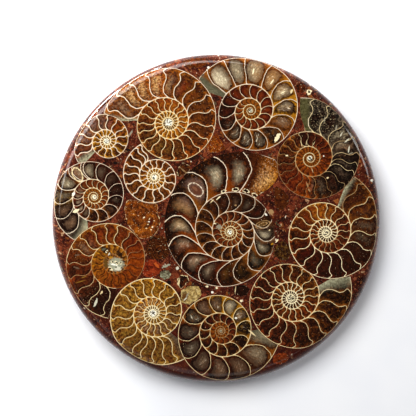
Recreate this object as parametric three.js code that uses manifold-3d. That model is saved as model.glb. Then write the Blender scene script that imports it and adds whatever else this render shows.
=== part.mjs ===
// A round plate of fossil ammonites: halved shells and broken fragments set in red-brown
// conglomerate, ground flat and polished on one face. Millimetres, +Z up. The origin is the
// centre of the flat back, and the polished face looks up.

import * as THREE from "three";
import { mergeVertices } from "three/addons/utils/BufferGeometryUtils.js";
import Module from "manifold-3d";

const wasm = await Module();
wasm.setup();

// ---- plate ----
const PLATE_RADIUS = 70;
const PLATE_THICKNESS = 12;
const SHOULDER_RADIUS = 4; // rounding between the polished face and the edge
const BACK_CHAMFER = 1;
const SHOULDER_STEPS = 4;
const EDGE_SEGMENTS = 88;

// ---- fossils ----
const SEAT_GAP = 0.3; // clearance between a fossil and what it is set in
const COLLAR = 1; // how far the cutting shapes stand above the polished face
const OUTLINE_STEPS = 34; // points along one whorl of an outer wall
const LIP_STEPS = 4; // points across the open end of the shell

// How an ammonite narrows below the face it was halved on: [depth, scale] of each ring,
// the depth as a share of the shell's radius at its mouth.
const LENS = [[0, 1], [0.06, 0.86], [0.19, 0.45]]; // flat-sided shells with a sharp keel
const DOME = [[0, 1], [0.12, 0.93], [0.26, 0.5]]; // fatter shells with a round back

// Each ammonite: its centre on the plate, the way it coils outwards (1 is counter-clockwise
// seen from above), the angle of its mouth, and its outer wall, as the distance from the
// centre at the mouth and at each quarter turn back from it. The sediment-filled living
// chamber runs on past the mouth by "infill" degrees, and "lip" is how far it bulges there.
const AMMONITES = [
  { name: "ammonite_upper_left", form: LENS, colour: 0x8a4a16, centre: [-20.0, 40.6], coil: 1,
    mouth: 171, infill: 5, lip: 2, wall: [27.8, 23.1, 19.5, 15.8, 13.2] },
  { name: "ammonite_top", form: DOME, colour: 0x8f6a48, centre: [14.6, 45.7], coil: 1,
    mouth: 146, infill: 8, lip: 2, wall: [25.7, 21.8, 18.9, 15.5, 12.4] },
  { name: "ammonite_small_left", form: LENS, colour: 0x8c5530, centre: [-46.4, 32.8], coil: 1,
    mouth: 207, infill: 16, lip: 2, wall: [14.8, 12.0, 9.8, 7.7, 6.4] },
  { name: "ammonite_small_inner", form: LENS, colour: 0x8e5420, centre: [-26.1, 17.5], coil: -1,
    mouth: 110, infill: 6, lip: 0, wall: [15.3, 12.7, 10.5, 8.7, 7.3] },
  { name: "ammonite_left", form: DOME, colour: 0x4a2d1c, centre: [-51.8, 9.1], coil: 1,
    mouth: 240, infill: 14, lip: 6, wall: [19.9, 16.8, 14.1, 11.9, 10.0] },
  { name: "ammonite_lower_left", form: LENS, colour: 0x8a3c10, centre: [-43.7, -18.5], coil: 1,
    mouth: 261, infill: 16, lip: 2, wall: [23.8, 19.5, 16.0, 13.2, 10.8] },
  { name: "ammonite_golden", form: LENS, colour: 0x8a6a24, centre: [-26.7, -40.2], coil: 1,
    mouth: 298, infill: 14, lip: 2, wall: [23.3, 19.2, 15.7, 12.9, 10.6] },
  { name: "ammonite_bottom", form: DOME, colour: 0x3c2c1c, centre: [2.1, -47.8], coil: 1,
    mouth: 340, infill: 20, lip: 4, wall: [24.6, 20.7, 17.4, 14.6, 12.3] },
  { name: "ammonite_lower_right", form: LENS, colour: 0x5a260e, centre: [31.8, -33.8], coil: 1,
    mouth: 9, infill: 15, lip: 2, wall: [26.1, 21.6, 17.8, 14.7, 12.1] },
  { name: "ammonite_right", form: LENS, colour: 0x7a3410, centre: [46.7, -6.2], coil: 1,
    mouth: 60, infill: 7, lip: 1, wall: [26.6, 21.8, 18.1, 14.8, 12.0] },
  { name: "ammonite_upper_right", form: LENS, colour: 0x45281c, centre: [39.9, 25.4], coil: 1,
    mouth: 92, infill: 7, lip: 3, wall: [25.7, 21.0, 17.1, 14.0, 11.4] },
  { name: "ammonite_centre", form: DOME, colour: 0x5c3818, centre: [5.9, -5.8], coil: -1,
    mouth: 71, infill: 17, lip: 6, wall: [35.1, 28.6, 24.0, 19.5, 17.4] },
];

// Where two ammonites meet, the first was ground away against the second.
const CUT_BY = [
  ["ammonite_small_inner", "ammonite_upper_left"],
  ["ammonite_upper_left", "ammonite_small_left"],
  ["ammonite_small_left", "ammonite_left"],
  ["ammonite_left", "ammonite_small_inner"],
  ["ammonite_left", "ammonite_lower_left"],
  ["ammonite_lower_left", "ammonite_golden"],
  ["ammonite_golden", "ammonite_bottom"],
  ["ammonite_bottom", "ammonite_lower_right"],
  ["ammonite_lower_right", "ammonite_right"],
  ["ammonite_right", "ammonite_upper_right"],
  ["ammonite_upper_right", "ammonite_top"],
  ["ammonite_centre", "ammonite_top"],
  ["ammonite_centre", "ammonite_upper_right"],
  ["ammonite_centre", "ammonite_lower_right"],
  ["ammonite_top", "ammonite_upper_left"],
];

// Each fragment: its depth below the face and its outline, counter-clockwise or clockwise.
const FRAGMENT_TAPER = 0.75; // scale of a fragment's underside
const FRAGMENTS = [
  { name: "fragment_orange", colour: 0x94561c, depth: 5, outline: [
    [-37.3, 7.8], [-31.4, 6.9], [-25.5, 6.1], [-24.6, 2.2], [-23.8, -2.0],
    [-25.5, -6.2], [-30.5, -8.8], [-33.9, -6.7], [-36.9, -3.3], [-38.6, 2.2]] },
  { name: "fragment_ribbed", colour: 0x54301a, depth: 4, outline: [
    [-28.0, -8.8], [-24.2, -7.1], [-20.8, -9.2], [-19.5, -12.6], [-20.4, -16.0],
    [-23.3, -17.3], [-27.2, -16.8], [-29.7, -14.3], [-29.7, -11.3]] },
  { name: "fragment_red", colour: 0x8a3414, depth: 4, outline: [
    [-31.0, -18.5], [-28.0, -17.3], [-25.0, -18.1], [-23.3, -20.2], [-23.3, -22.4],
    [-25.9, -24.5], [-29.3, -24.9], [-31.4, -22.4]] },
  { name: "fragment_black", colour: 0x241410, depth: 3, outline: [
    [-16.5, -26.2], [-14.8, -24.1], [-12.3, -24.5], [-11.5, -26.2], [-13.2, -28.3],
    [-14.8, -29.6], [-16.1, -28.3]] },
  { name: "fragment_beige", colour: 0xb09a6c, depth: 4, outline: [
    [-14.8, -31.3], [-12.3, -29.1], [-8.5, -28.7], [-6.4, -30.4], [-6.8, -33.4],
    [-8.9, -35.1], [-11.5, -36.4], [-14.4, -35.5]] },
  { name: "fragment_dark", colour: 0x2c1a14, depth: 3, outline: [
    [7.6, -29.1], [10.6, -28.3], [13.6, -29.1], [13.6, -31.7], [11.0, -33.0], [8.1, -32.1]] },
  { name: "fragment_septate", colour: 0x4a2c18, depth: 3, outline: [
    [-14.0, 23.5], [-11.0, 21.8], [-11.9, 19.6], [-14.8, 17.9], [-16.5, 18.4], [-16.1, 20.9]] },
  { name: "fragment_textured", colour: 0x7c4418, depth: 4, outline: [
    [0.0, 35.8], [2.1, 33.2], [3.8, 29.8], [1.7, 28.1], [-2.1, 28.1], [-4.2, 30.2],
    [-2.5, 33.2]] },
  { name: "fragment_rim_dark", colour: 0x3a2014, depth: 3, outline: [
    [34.4, 57.0], [36.5, 57.8], [38.2, 56.1], [37.3, 53.6], [34.8, 53.6], [33.9, 55.3]] },
  { name: "fragment_brown_rib", colour: 0x5c3018, depth: 4, outline: [
    [25.5, 13.3], [28.8, 11.6], [31.0, 8.2], [29.3, 4.4], [25.9, 3.9], [24.6, 8.6]] },
  { name: "fragment_olive", colour: 0x4c3c24, depth: 3, outline: [
    [25.5, -11.8], [28.4, -9.6], [31.0, -11.8], [31.8, -15.1], [29.3, -17.7],
    [25.9, -16.8], [24.6, -14.3]] },
  { name: "fragment_rim_brown", colour: 0x7a4430, depth: 3, outline: [
    [-13.6, 66.7], [-9.3, 68.0], [-4.7, 67.6], [-4.2, 65.0], [-8.9, 63.8], [-12.7, 64.6]] },
  { name: "fragment_rust", colour: 0x7c3c20, depth: 3, outline: [
    [24.2, -58.8], [27.2, -57.1], [30.5, -57.6], [30.5, -60.1], [27.6, -61.8],
    [24.6, -61.4]] },
  { name: "fragment_green", colour: 0x5e6048, depth: 2.5, outline: [
    [-23.8, -23.2], [-21.6, -21.9], [-19.5, -22.8], [-19.5, -24.9], [-22.5, -25.8]] },
];

// ---- outlines ----

// Smooth curve through equally spaced values, read at any position along them.
function throughValues(values, position) {
  const first = Math.min(Math.max(Math.floor(position), 0), values.length - 2);
  const along = position - first;
  const [b, c] = [values[first], values[first + 1]];
  const a = values[first - 1] ?? 2 * b - c;
  const d = values[first + 2] ?? 2 * c - b;
  const cubic = -a + 3 * b - 3 * c + d;
  const square = 2 * a - 5 * b + 4 * c - d;
  return b + 0.5 * along * (c - a + along * (square + along * cubic));
}

// A shell grows by the same factor in each equal turn, so its wall is smooth in the logarithm.
function wallPoint(shell, turns, radiusTurns = turns, extraDegrees = 0) {
  const quarters = -4 * radiusTurns;
  const logRadii = shell.wall.map(Math.log);
  const radius = quarters < 0
    ? shell.wall[0] * (shell.wall[0] / shell.wall[1]) ** -quarters
    : Math.exp(throughValues(logRadii, quarters));
  const angle = THREE.MathUtils.degToRad(shell.mouth + shell.coil * (360 * turns + extraDegrees));
  return new THREE.Vector2(Math.cos(angle), Math.sin(angle)).multiplyScalar(radius);
}

function shellOutline(shell) {
  const opening = shell.infill / 360;
  const points = [];
  for (let i = 0; i <= OUTLINE_STEPS; i++) {
    points.push(wallPoint(shell, opening - i / OUTLINE_STEPS));
  }
  for (let i = 1; i < LIP_STEPS; i++) {
    const across = i / LIP_STEPS;
    const bulge = shell.lip * Math.sin(Math.PI * across);
    const inner = wallPoint(shell, opening, opening - 1, bulge);
    const outer = wallPoint(shell, opening, opening, bulge);
    points.push(inner.lerp(outer, across));
  }
  return counterClockwise(points);
}

function counterClockwise(points) {
  return THREE.ShapeUtils.isClockWise(points) ? [...points].reverse() : points;
}

// Moves each edge of a counter-clockwise outline outwards by a distance.
function grownOutline(points, distance) {
  const count = points.length;
  return points.map((point, i) => {
    const before = point.clone().sub(points[(i + count - 1) % count]).normalize();
    const after = points[(i + 1) % count].clone().sub(point).normalize();
    const mitre = new THREE.Vector2(before.y + after.y, -before.x - after.x).normalize();
    const stretch = Math.min(1 / (mitre.x * after.y - mitre.y * after.x), 2);
    return point.clone().addScaledVector(mitre, distance * stretch);
  });
}

// ---- solids ----

function solidFromGeometry(geometry) {
  const bare = geometry.clone();
  bare.deleteAttribute("normal");
  bare.deleteAttribute("uv");
  const merged = mergeVertices(bare, 1e-4);
  return new wasm.Manifold(new wasm.Mesh({
    numProp: 3,
    vertProperties: new Float32Array(merged.attributes.position.array),
    triVerts: new Uint32Array(merged.index.array),
  }));
}

function geometryFromSolid(solid) {
  const { vertProperties, triVerts } = solid.getMesh();
  const geometry = new THREE.BufferGeometry();
  geometry.setAttribute("position", new THREE.BufferAttribute(vertProperties, 3));
  geometry.setIndex(new THREE.BufferAttribute(triVerts, 1));
  geometry.computeVertexNormals();
  return geometry;
}

// A closed solid through a stack of outlines with equal numbers of points, lowest first.
function loft(layers) {
  const count = layers[0].outline.length;
  const positions = layers.flatMap(({ outline, z }) => outline.flatMap((p) => [p.x, p.y, z]));
  const faces = [];
  for (let layer = 0; layer + 1 < layers.length; layer++) {
    for (let i = 0; i < count; i++) {
      const a = layer * count + i;
      const b = layer * count + (i + 1) % count;
      faces.push(a, b, b + count, a, b + count, a + count);
    }
  }
  const top = (layers.length - 1) * count;
  for (const [a, b, c] of THREE.ShapeUtils.triangulateShape(layers[0].outline, [])) {
    faces.push(a, c, b);
  }
  for (const [a, b, c] of THREE.ShapeUtils.triangulateShape(layers.at(-1).outline, [])) {
    faces.push(top + a, top + b, top + c);
  }
  const geometry = new THREE.BufferGeometry();
  geometry.setAttribute("position", new THREE.Float32BufferAttribute(positions, 3));
  geometry.setIndex(faces);
  return solidFromGeometry(geometry);
}

// An outline scaled about a centre at each depth, grown by the seat gap where it cuts a pocket.
function taperedSolid(outline, centre, rings, gap) {
  const layers = rings.map(([depth, scale]) => {
    const scaled = outline.map((p) => p.clone().sub(centre).multiplyScalar(scale).add(centre));
    const below = depth > 0 ? depth + gap : 0;
    return { outline: gap > 0 ? grownOutline(scaled, gap) : scaled, z: PLATE_THICKNESS - below };
  });
  const collar = { outline: layers[0].outline, z: PLATE_THICKNESS + COLLAR };
  return loft([collar, ...layers].reverse());
}

function ammoniteSolid(shell, gap) {
  const centre = new THREE.Vector2(...shell.centre);
  const outline = shellOutline(shell).map((p) => p.add(centre));
  const rings = shell.form.map(([depth, scale]) => [depth * shell.wall[0], scale]);
  return taperedSolid(outline, centre, rings, gap);
}

function fragmentSolid(fragment, gap) {
  const outline = counterClockwise(fragment.outline.map(([x, y]) => new THREE.Vector2(x, y)));
  const centre = outline.reduce((sum, p) => sum.add(p), new THREE.Vector2());
  centre.divideScalar(outline.length);
  return taperedSolid(outline, centre, [[0, 1], [fragment.depth, FRAGMENT_TAPER]], gap);
}

// The plate's outside: flat back, small chamfer, straight edge, rounded shoulder, flat face.
function plateSolid() {
  const profile = [
    new THREE.Vector2(0, 0),
    new THREE.Vector2(PLATE_RADIUS - BACK_CHAMFER, 0),
    new THREE.Vector2(PLATE_RADIUS, BACK_CHAMFER),
  ];
  for (let i = 0; i <= SHOULDER_STEPS; i++) {
    const angle = (i / SHOULDER_STEPS) * Math.PI / 2;
    profile.push(new THREE.Vector2(
      PLATE_RADIUS - SHOULDER_RADIUS * (1 - Math.cos(angle)),
      PLATE_THICKNESS - SHOULDER_RADIUS * (1 - Math.sin(angle)),
    ));
  }
  profile.push(new THREE.Vector2(0, PLATE_THICKNESS));
  // LatheGeometry turns about Y, so the plate is stood up on Z afterwards.
  return solidFromGeometry(new THREE.LatheGeometry(profile, EDGE_SEGMENTS).rotateX(Math.PI / 2));
}

// ---- assembly ----

const group = new THREE.Group();
const plate = plateSolid();

function addPiece(name, solid, colour, roughness, [x, y] = [0, 0]) {
  const material = new THREE.MeshStandardMaterial({ color: colour, roughness, metalness: 0 });
  const mesh = new THREE.Mesh(geometryFromSolid(solid).translate(-x, -y, 0), material);
  mesh.name = name;
  mesh.position.set(x, y, 0);
  group.add(mesh);
}

const pockets = new Map(AMMONITES.map((shell) => [shell.name, ammoniteSolid(shell, SEAT_GAP)]));
for (const shell of AMMONITES) {
  let solid = ammoniteSolid(shell, 0).intersect(plate);
  for (const [cut, cutter] of CUT_BY) {
    if (cut === shell.name) solid = solid.subtract(pockets.get(cutter));
  }
  addPiece(shell.name, solid, shell.colour, 0.25, shell.centre);
}

const shellPockets = wasm.Manifold.union([...pockets.values()]);
for (const fragment of FRAGMENTS) {
  const solid = fragmentSolid(fragment, 0).intersect(plate).subtract(shellPockets);
  addPiece(fragment.name, solid, fragment.colour, 0.3, fragment.outline[0]);
}

const fragmentPockets = wasm.Manifold.union(FRAGMENTS.map((f) => fragmentSolid(f, SEAT_GAP)));
addPiece("matrix", plate.subtract(shellPockets).subtract(fragmentPockets), 0x7c3a26, 0.35);

export default group;
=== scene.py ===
"""Fossil ammonite plate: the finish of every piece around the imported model, and the studio.

Sizes are in millimetres until a mesh is made, where MM turns them into metres.
"""

import math

import bmesh
import bpy
import numpy as np
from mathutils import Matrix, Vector
from mathutils.geometry import delaunay_2d_cdt


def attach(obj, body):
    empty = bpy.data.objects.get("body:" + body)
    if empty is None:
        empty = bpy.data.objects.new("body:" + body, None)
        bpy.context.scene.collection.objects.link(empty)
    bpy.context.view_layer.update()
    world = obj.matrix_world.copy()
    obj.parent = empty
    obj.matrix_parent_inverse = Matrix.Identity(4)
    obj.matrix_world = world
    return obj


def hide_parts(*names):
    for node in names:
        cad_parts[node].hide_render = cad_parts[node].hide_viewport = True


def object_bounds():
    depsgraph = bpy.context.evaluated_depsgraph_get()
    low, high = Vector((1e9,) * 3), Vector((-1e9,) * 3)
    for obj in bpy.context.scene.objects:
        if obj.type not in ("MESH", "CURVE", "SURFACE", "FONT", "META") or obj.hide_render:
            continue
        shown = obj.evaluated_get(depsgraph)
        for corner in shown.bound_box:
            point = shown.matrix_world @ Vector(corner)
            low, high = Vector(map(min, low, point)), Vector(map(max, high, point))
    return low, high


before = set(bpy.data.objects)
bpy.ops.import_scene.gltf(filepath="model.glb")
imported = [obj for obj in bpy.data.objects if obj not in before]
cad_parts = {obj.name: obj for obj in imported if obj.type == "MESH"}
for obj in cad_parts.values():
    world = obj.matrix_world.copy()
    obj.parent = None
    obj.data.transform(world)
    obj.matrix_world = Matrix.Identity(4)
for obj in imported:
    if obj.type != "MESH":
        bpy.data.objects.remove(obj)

MM = 0.001
cad_low, cad_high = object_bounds()

# ---- the plate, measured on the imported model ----
PLATE_RADIUS = cad_high.y / MM
PLATE_THICKNESS = cad_high.z / MM
SHOULDER = 4.0  # rounding between the polished face and the edge
BACK_CHAMFER = 1.0
FOSSIL_LIMIT = PLATE_RADIUS - 0.08  # fossils are ground away just inside the edge
SEAM = 0.05  # hairline between a fossil and the stone that it is set in
CUT_GAP = 3 * SEAM  # between a fossil and a neighbour that it was ground away against
POCKET_DROP = 0.1  # how much deeper than a fossil its pocket is
RING_STEP = 0.05  # least height between two rings of a fossil's body

# ---- how fine the meshes are ----
STEPS_PER_WHORL = 180
STEPS_ACROSS = 24
SMALLEST_WHORL = 0.35  # distance from the centre at which the coil starts
MOST_WHORLS = 9
LIP_STEPS = 10  # columns over which the open end of a shell bulges
HALVINGS = 26  # steps that find where a shell meets the rounded shoulder
EDGE_STEPS = 360
SHOULDER_STEPS = 10
FACE_SPACING = 1.5
FREE_MARGIN = 0.3  # between a fossil's outline and the nearest free point of the stone
CLOSEST_POINTS = 0.02  # along the outline of a pocket
CLOSEST_IN_PLAN = 1e-6
TINY, NEXT_TO_NOTHING = 1e-9, 1e-12  # kept out of divisions
SAME_PLACE = 2e-6  # in metres
SHARP_ANGLE = math.radians(38)  # faces that meet at more than this show an edge
POLISHED, ROUGH = 0, 1  # the material slots of every mesh

# ---- the lines of a shell ----
LINE_GAIN = 0.44  # drawn width of a line for each unit of its width in a band
FULL_LINE_HEIGHT = 5  # in a lower whorl the lines are thinner
LINE_THINNING = 0.7  # the power with which they do
FAINT_SEPTUM = 0.3  # a septum thinner than this fades away
FADING = 0.4
FAINT_RIM = 0.03  # an outer rim thinner than this isn't drawn
NO_LINE = -0.4  # a half width that hides a line
LAST_CHAMBER = 0.49  # how far the count of septa runs on past the newest
WIDEST_CHAMBER = 30
INNER_WHORL = (-400, -300)  # degrees back from the mouth, over which the bend changes
PAINTS = ("core", "ring", "rind", "line")

# ---- palette ----


def srgb(code):
    """Linear colour of a hexadecimal sRGB code."""
    channels = [int(code[i : i + 2], 16) / 255 for i in (1, 3, 5)]
    return [c / 12.92 if c <= 0.04045 else ((c + 0.055) / 1.055) ** 2.4 for c in channels]


WHITE = srgb("#f2eedc")
CREAM = srgb("#f2e3ba")
IVORY = srgb("#e0cb9c")
SILVER = srgb("#d0cbb4")
PEARL = srgb("#dccab0")
TAN = srgb("#a3835a")
GOLD = srgb("#a8781e")
AMBER = srgb("#855018")
ORANGE = srgb("#8a4610")
RUST = srgb("#6c3012")
BROWN = srgb("#583112")
CHESTNUT = srgb("#4a2410")
CHOCOLATE = srgb("#341a0f")
MAROON = srgb("#42170e")
UMBER = srgb("#24140d")
BLACK = srgb("#15110d")
OLIVE = srgb("#604720")
KHAKI = srgb("#8f6d2c")
MOSS = srgb("#605f4e")
MUD = srgb("#504e34")
SEDIMENT = srgb("#9a9c86")
TAUPE = srgb("#6c5644")
MAUVE = srgb("#67524b")
GREY = srgb("#928a76")
SMOKE = srgb("#564c40")

# ---- the ammonites ----

# How an ammonite narrows below the face: (depth, scale) of each ring, the depth as a share of
# the shell's radius at its mouth.
LENS = ((0, 1), (0.06, 0.86), (0.19, 0.45))
DOME = ((0, 1), (0.12, 0.93), (0.26, 0.5))

# How far a septum leads (+) or lags (-) along the coil, in degrees, at nine equal steps from the
# inner wall to the outer wall.
S_CURVE = (-5.6, 2.2, 3.4, 2.4, -0.3, -2.4, -2.2, -0.2, -5)
ARC = (-11, -5.2, -2.3, -0.7, 0, -0.6, -2, -4.2, -8)
DEEP_ARC = (-20, -9.5, -4.2, -1, 0, -0.6, -2.4, -5.3, -9.4)

USUAL_LOOK = dict(
    line=PEARL, fill=(0.08, 0.2, 0.8), septum=0.7, wall=0.75, rim=0.5, mottle=1, shine=0,
    sparkle=0.5, shade=0,
)
MUD_LOOK = dict(mottle=0.7, sparkle=0.1)


def band(turn, *paints, **changed):
    """The look of the coil at one point of its length; it changes evenly to the next band.

    paints are the colours of a chamber's core, of the ring around it and of its rind, and then
    fill: where the rind ends and where the core starts and is whole, on a scale from the
    chamber's border (0) to its middle (1). The widths of septum, inner wall and outer rim are
    full ones. shine is how bright the heart of a core is, painted as a highlight over the
    core's own silvery colour; sparkle is how many pale crystal specks are painted as glints,
    painted highlights; shade is how dark the rind is along the outer wall. What isn't given
    stays as in the band before, or as in the usual look.
    """
    return dict(zip(("core", "ring", "rind", "fill"), paints), turn=turn, **changed)


def patch(x, y, colour, long, wide=None, turn=0):
    """An irregular spot on the face: its half length and half width, and its turn in degrees."""
    return x, y, colour, long, wide or long, turn, None


def oval(x, y, colour, long, wide, turn=0, line=0.35):
    """A thin oval line on the face."""
    return x, y, colour, long, wide, turn, line


def crystal(x, y, long, wide, turn=0):
    """A small hollow with a pale edge: the dark patch is painted shade inside the hollow."""
    return patch(x, y, UMBER, long, wide, turn), oval(x, y, CREAM, long, wide, turn, 0.22)


# ragged: how far the mottling breaks up the border of a chamber's filling; soft: how blurred
# that border is; glow: how much of the rind's colour the older side of a chamber has; crisp:
# how sharply a core stands out; corners: how square the filling is; nearness: how near it lies
# to the newer septum and to the inner wall; blotches: how blotched it is.
WAVY_SHELL = dict(
    form=LENS, bend=S_CURVE, ragged=0.36, soft=0.2, glow=0.4, crisp=0, corners=5,
    nearness=(1.25, 0.85), blotches=1.3, coil=1, slot="brown_shell",
)
ROUND_SHELL = dict(
    form=DOME, bend=ARC, ragged=0.12, soft=0.12, glow=0.25, crisp=0.35,
    nearness=(1.15, 0.95), blotches=0.5, coil=1, slot="dark_shell",
)

# Each ammonite: its centre on the plate, the way it coils outwards (1 is counter-clockwise), the
# angle of its mouth, how many degrees of filled living chamber run on past it and how far that
# bulges, how many septa there are in a turn further in, the radius and colour of its eye and the
# radius of the dark spot in it, the turn and colour of the mud that filled its living chamber,
# the neighbours that it was ground away against, the distance of its outer wall from the centre
# at the mouth and at each quarter turn back, the angle of each septum, its looks along the coil
# and the marks on its face. An item of "leans" is about one septum: its index, how many degrees
# its inner and its outer end are turned, and how much of its bend the two halves keep.
AMMONITES = {}


def ammonite(name, kind, build, *bands, marks=()):
    """The bands run from the mouth of the shell to its start."""
    look, looks = USUAL_LOOK, []
    for changed in bands:
        look = {**look, **changed}
        looks.append(look)
    if "sediment" in build:
        turn, mud = build["sediment"]
        looks.append({**USUAL_LOOK, **band(turn, mud, mud, mud, **MUD_LOOK)})
    looks.sort(key=lambda item: item["turn"])
    AMMONITES["ammonite_" + name] = {**kind, **build, "bands": looks, "marks": marks}


ammonite(
    "upper_left", WAVY_SHELL,
    dict(centre=(-20, 40.6), mouth=171, infill=5, lip=2, septa_per_turn=18, eye=(1.6, WHITE, 0.3),
         sediment=(0.012, SEDIMENT), cut_by=("small_left",),
         wall=(27.8, 23.1, 19.5, 15.8, 13.2, 10.2, 8, 6.8, 5.7),
         septa=(169, 153, 136, 117, 96, 77.5, 56.5, 36.5, 17, -3.5, -22.5, -39, -60, -81, -101.5, -122,
                -140.5, -160, -177)),
    band(0, TAUPE, CHESTNUT, AMBER, septum=0.9, mottle=1.2),
    band(-0.045, sparkle=0.8),
    band(-0.065, TAN, BROWN, AMBER, mottle=1.5, sparkle=2.2),
    band(-0.2, TAN, RUST, AMBER, septum=0.75, mottle=1.4, sparkle=1.6),
    band(-0.235, TAUPE, CHESTNUT, AMBER, septum=0.8, mottle=1.1, sparkle=0.8),
    band(-0.29, RUST, CHOCOLATE, AMBER, mottle=0.7, sparkle=0.2),
    band(-0.36, BROWN, CHOCOLATE, AMBER, septum=0.7, mottle=1.1, sparkle=0.9),
    band(-0.62, BROWN, CHOCOLATE, ORANGE, line=IVORY, septum=0.6, sparkle=0.7),
    band(-0.78, OLIVE, CHOCOLATE, AMBER, mottle=1.2, sparkle=0.5),
    band(-0.95, CHESTNUT, CHOCOLATE, AMBER, mottle=1.3),
    band(-1.2, AMBER, RUST, AMBER, septum=0.55),
    band(-1.6, AMBER, RUST, GOLD, mottle=1.2),
    band(-1.9, BROWN, RUST, GOLD, septum=0.7, mottle=1),
    band(-2.3, CHESTNUT, BROWN, GOLD, septum=0.9),
    band(-2.8, CHOCOLATE, CHOCOLATE, BROWN, septum=1),
)
ammonite(
    "top", ROUND_SHELL,
    dict(centre=(14.6, 45.7), mouth=146, infill=8, lip=2, septa_per_turn=14, corners=2.3,
         eye=(0.8, SILVER, 0.2), sediment=(0, MOSS), cut_by=("upper_left",),
         wall=(25.7, 21.8, 18.9, 15.5, 12.4, 10.5, 9, 7.5, 5.9),
         septa=(142.8, 118.7, 97.4, 68, 44, 17.3, -6.7, -33.3, -60, -86, -112, -138, -164, -190),
         leans=((0, 3, -6, 0.1, 0.1), (1, 2, -1, 0, 0), (2, 1, -2, 0, 0), (3, 0, -2, 0.3, 0.3),
                (7, -10, 0, 1, 1))),
    band(-0.012, SILVER, BROWN, AMBER, (0.03, 0.08, 0.4), septum=0.6, mottle=0.6, shine=0.7),
    band(-0.07, GREY, CHOCOLATE, AMBER, (0, 0.1, 1), mottle=1, shine=0.6),
    band(-0.13, shine=0.8),
    band(-0.24, TAN, CHESTNUT, AMBER, (0.06, 0.14, 1), shine=1),
    band(-0.36, GREY, CHOCOLATE, GOLD, (0.1, 0.18, 0.9), septum=0.55, rim=0.6),
    band(-0.41, TAUPE, UMBER, GOLD, (0.1, 0.3, 0.8), mottle=1.4, shine=1.4),
    band(-0.47, TAUPE, BROWN, AMBER, (0.1, 0.25, 0.8), rim=0.5, shine=0),
    band(-0.54, UMBER, UMBER, AMBER, (0.05, 0.3, 1), septum=0.5, sparkle=1.5),
    band(-0.6, SMOKE, UMBER, AMBER, (0.12, 0.25, 0.7), mottle=1, shine=1.2, sparkle=0.5),
    band(-0.75, fill=(0.08, 0.25, 0.8), septum=0.55, shine=0.8),
    band(-0.84, CHOCOLATE, UMBER, RUST, (-0.05, 0.3, 1.1), septum=0.5, shine=0),
    band(-0.93, MAROON, UMBER, CHESTNUT, (-0.1, 0.3, 1.1)),
    band(-1.05, RUST, MAROON, AMBER, (0.02, 0.3, 1.1), septum=0.45),
    band(-1.5, RUST, MAROON, RUST, line=IVORY, septum=0.4),
    band(-1.95, RUST, CHESTNUT, AMBER, (0.08, 0.2, 0.8), septum=0.3, wall=0.7),
    band(-2.2, AMBER, BROWN, AMBER, septum=0, wall=0.8),
    marks=(
        patch(26, 34.3, CREAM, 2.1, 0.8, 60), patch(32, 53.9, IVORY, 0.9, 0.5, 60),
        patch(17.9, 56.6, BLACK, 0.5), patch(21.9, 54.1, BLACK, 0.4), patch(6.3, 56.2, BLACK, 0.45),
        patch(15.8, 62.4, CREAM, 1.5, 0.3, 80), patch(23.8, 58, CREAM, 1.1, 0.3, 55),
        patch(28.3, 53.4, CREAM, 1.1, 0.3, 30), patch(-5.6, 60.9, SMOKE, 0.7, 0.4),
    ),
)
ammonite(
    "small_left", WAVY_SHELL,
    dict(centre=(-46.4, 32.8), mouth=207, infill=16, lip=2, septa_per_turn=15, corners=4,
         eye=(1.1, WHITE, 0.2), sediment=(0.044, SEDIMENT), cut_by=("left",),
         wall=(14.8, 12, 9.8, 7.7, 6.4, 5, 4.2, 3.3, 2.7),
         septa=(207, 189, 166, 142, 113, 90, 65, 38, 16, -13, -40, -65, -96, -126)),
    band(0, CHESTNUT, CHOCOLATE, RUST, septum=0.9, mottle=1.2),
    band(-0.08, MAUVE, CHESTNUT, AMBER, septum=0.85, mottle=1.3, sparkle=1),
    band(-0.28, MAUVE, CHESTNUT, TAUPE, septum=0.75, mottle=1.4, sparkle=0.5),
    band(-0.4, RUST, CHESTNUT, AMBER, septum=0.7, mottle=1.2),
    band(-0.6, BROWN, CHOCOLATE, GOLD, septum=0.65),
    band(-0.8, septum=0.6),
    band(-1.1, BROWN, CHESTNUT, GOLD, mottle=1),
    band(-1.8, line=CREAM, septum=0.8),
    band(-2.3, CHOCOLATE, CHESTNUT, AMBER, septum=1.1),
)
ammonite(
    "small_inner", WAVY_SHELL,
    dict(centre=(-26.1, 17.5), coil=-1, mouth=110, infill=6, lip=0, septa_per_turn=16,
         eye=(1, WHITE, 0.1), sediment=(0.016, BROWN), cut_by=("upper_left",),
         wall=(15.3, 12.7, 10.5, 8.7, 7.3, 6, 5, 4.2, 3.5),
         septa=(112, 120, 136, 154, 172, 193, 217, 241, 267, 292, 315, 340, 367, 390, 415, 441)),
    band(0, BROWN, CHOCOLATE, AMBER, septum=0.9, wall=0.9, rim=0.7, mottle=1.2),
    band(-0.5, septum=0.85, mottle=1.3, sparkle=1.2),
    band(-0.9, BROWN, CHESTNUT, AMBER, septum=0.8, mottle=1.2, sparkle=0.8),
    band(-1.3, RUST, CHESTNUT, GOLD, septum=0.7, wall=0.75, rim=0.5, sparkle=0.5),
    band(-1.8, AMBER, BROWN, GOLD, line=CREAM, mottle=1),
    band(-2.3, BROWN, BROWN, GOLD, septum=1),
)
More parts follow.
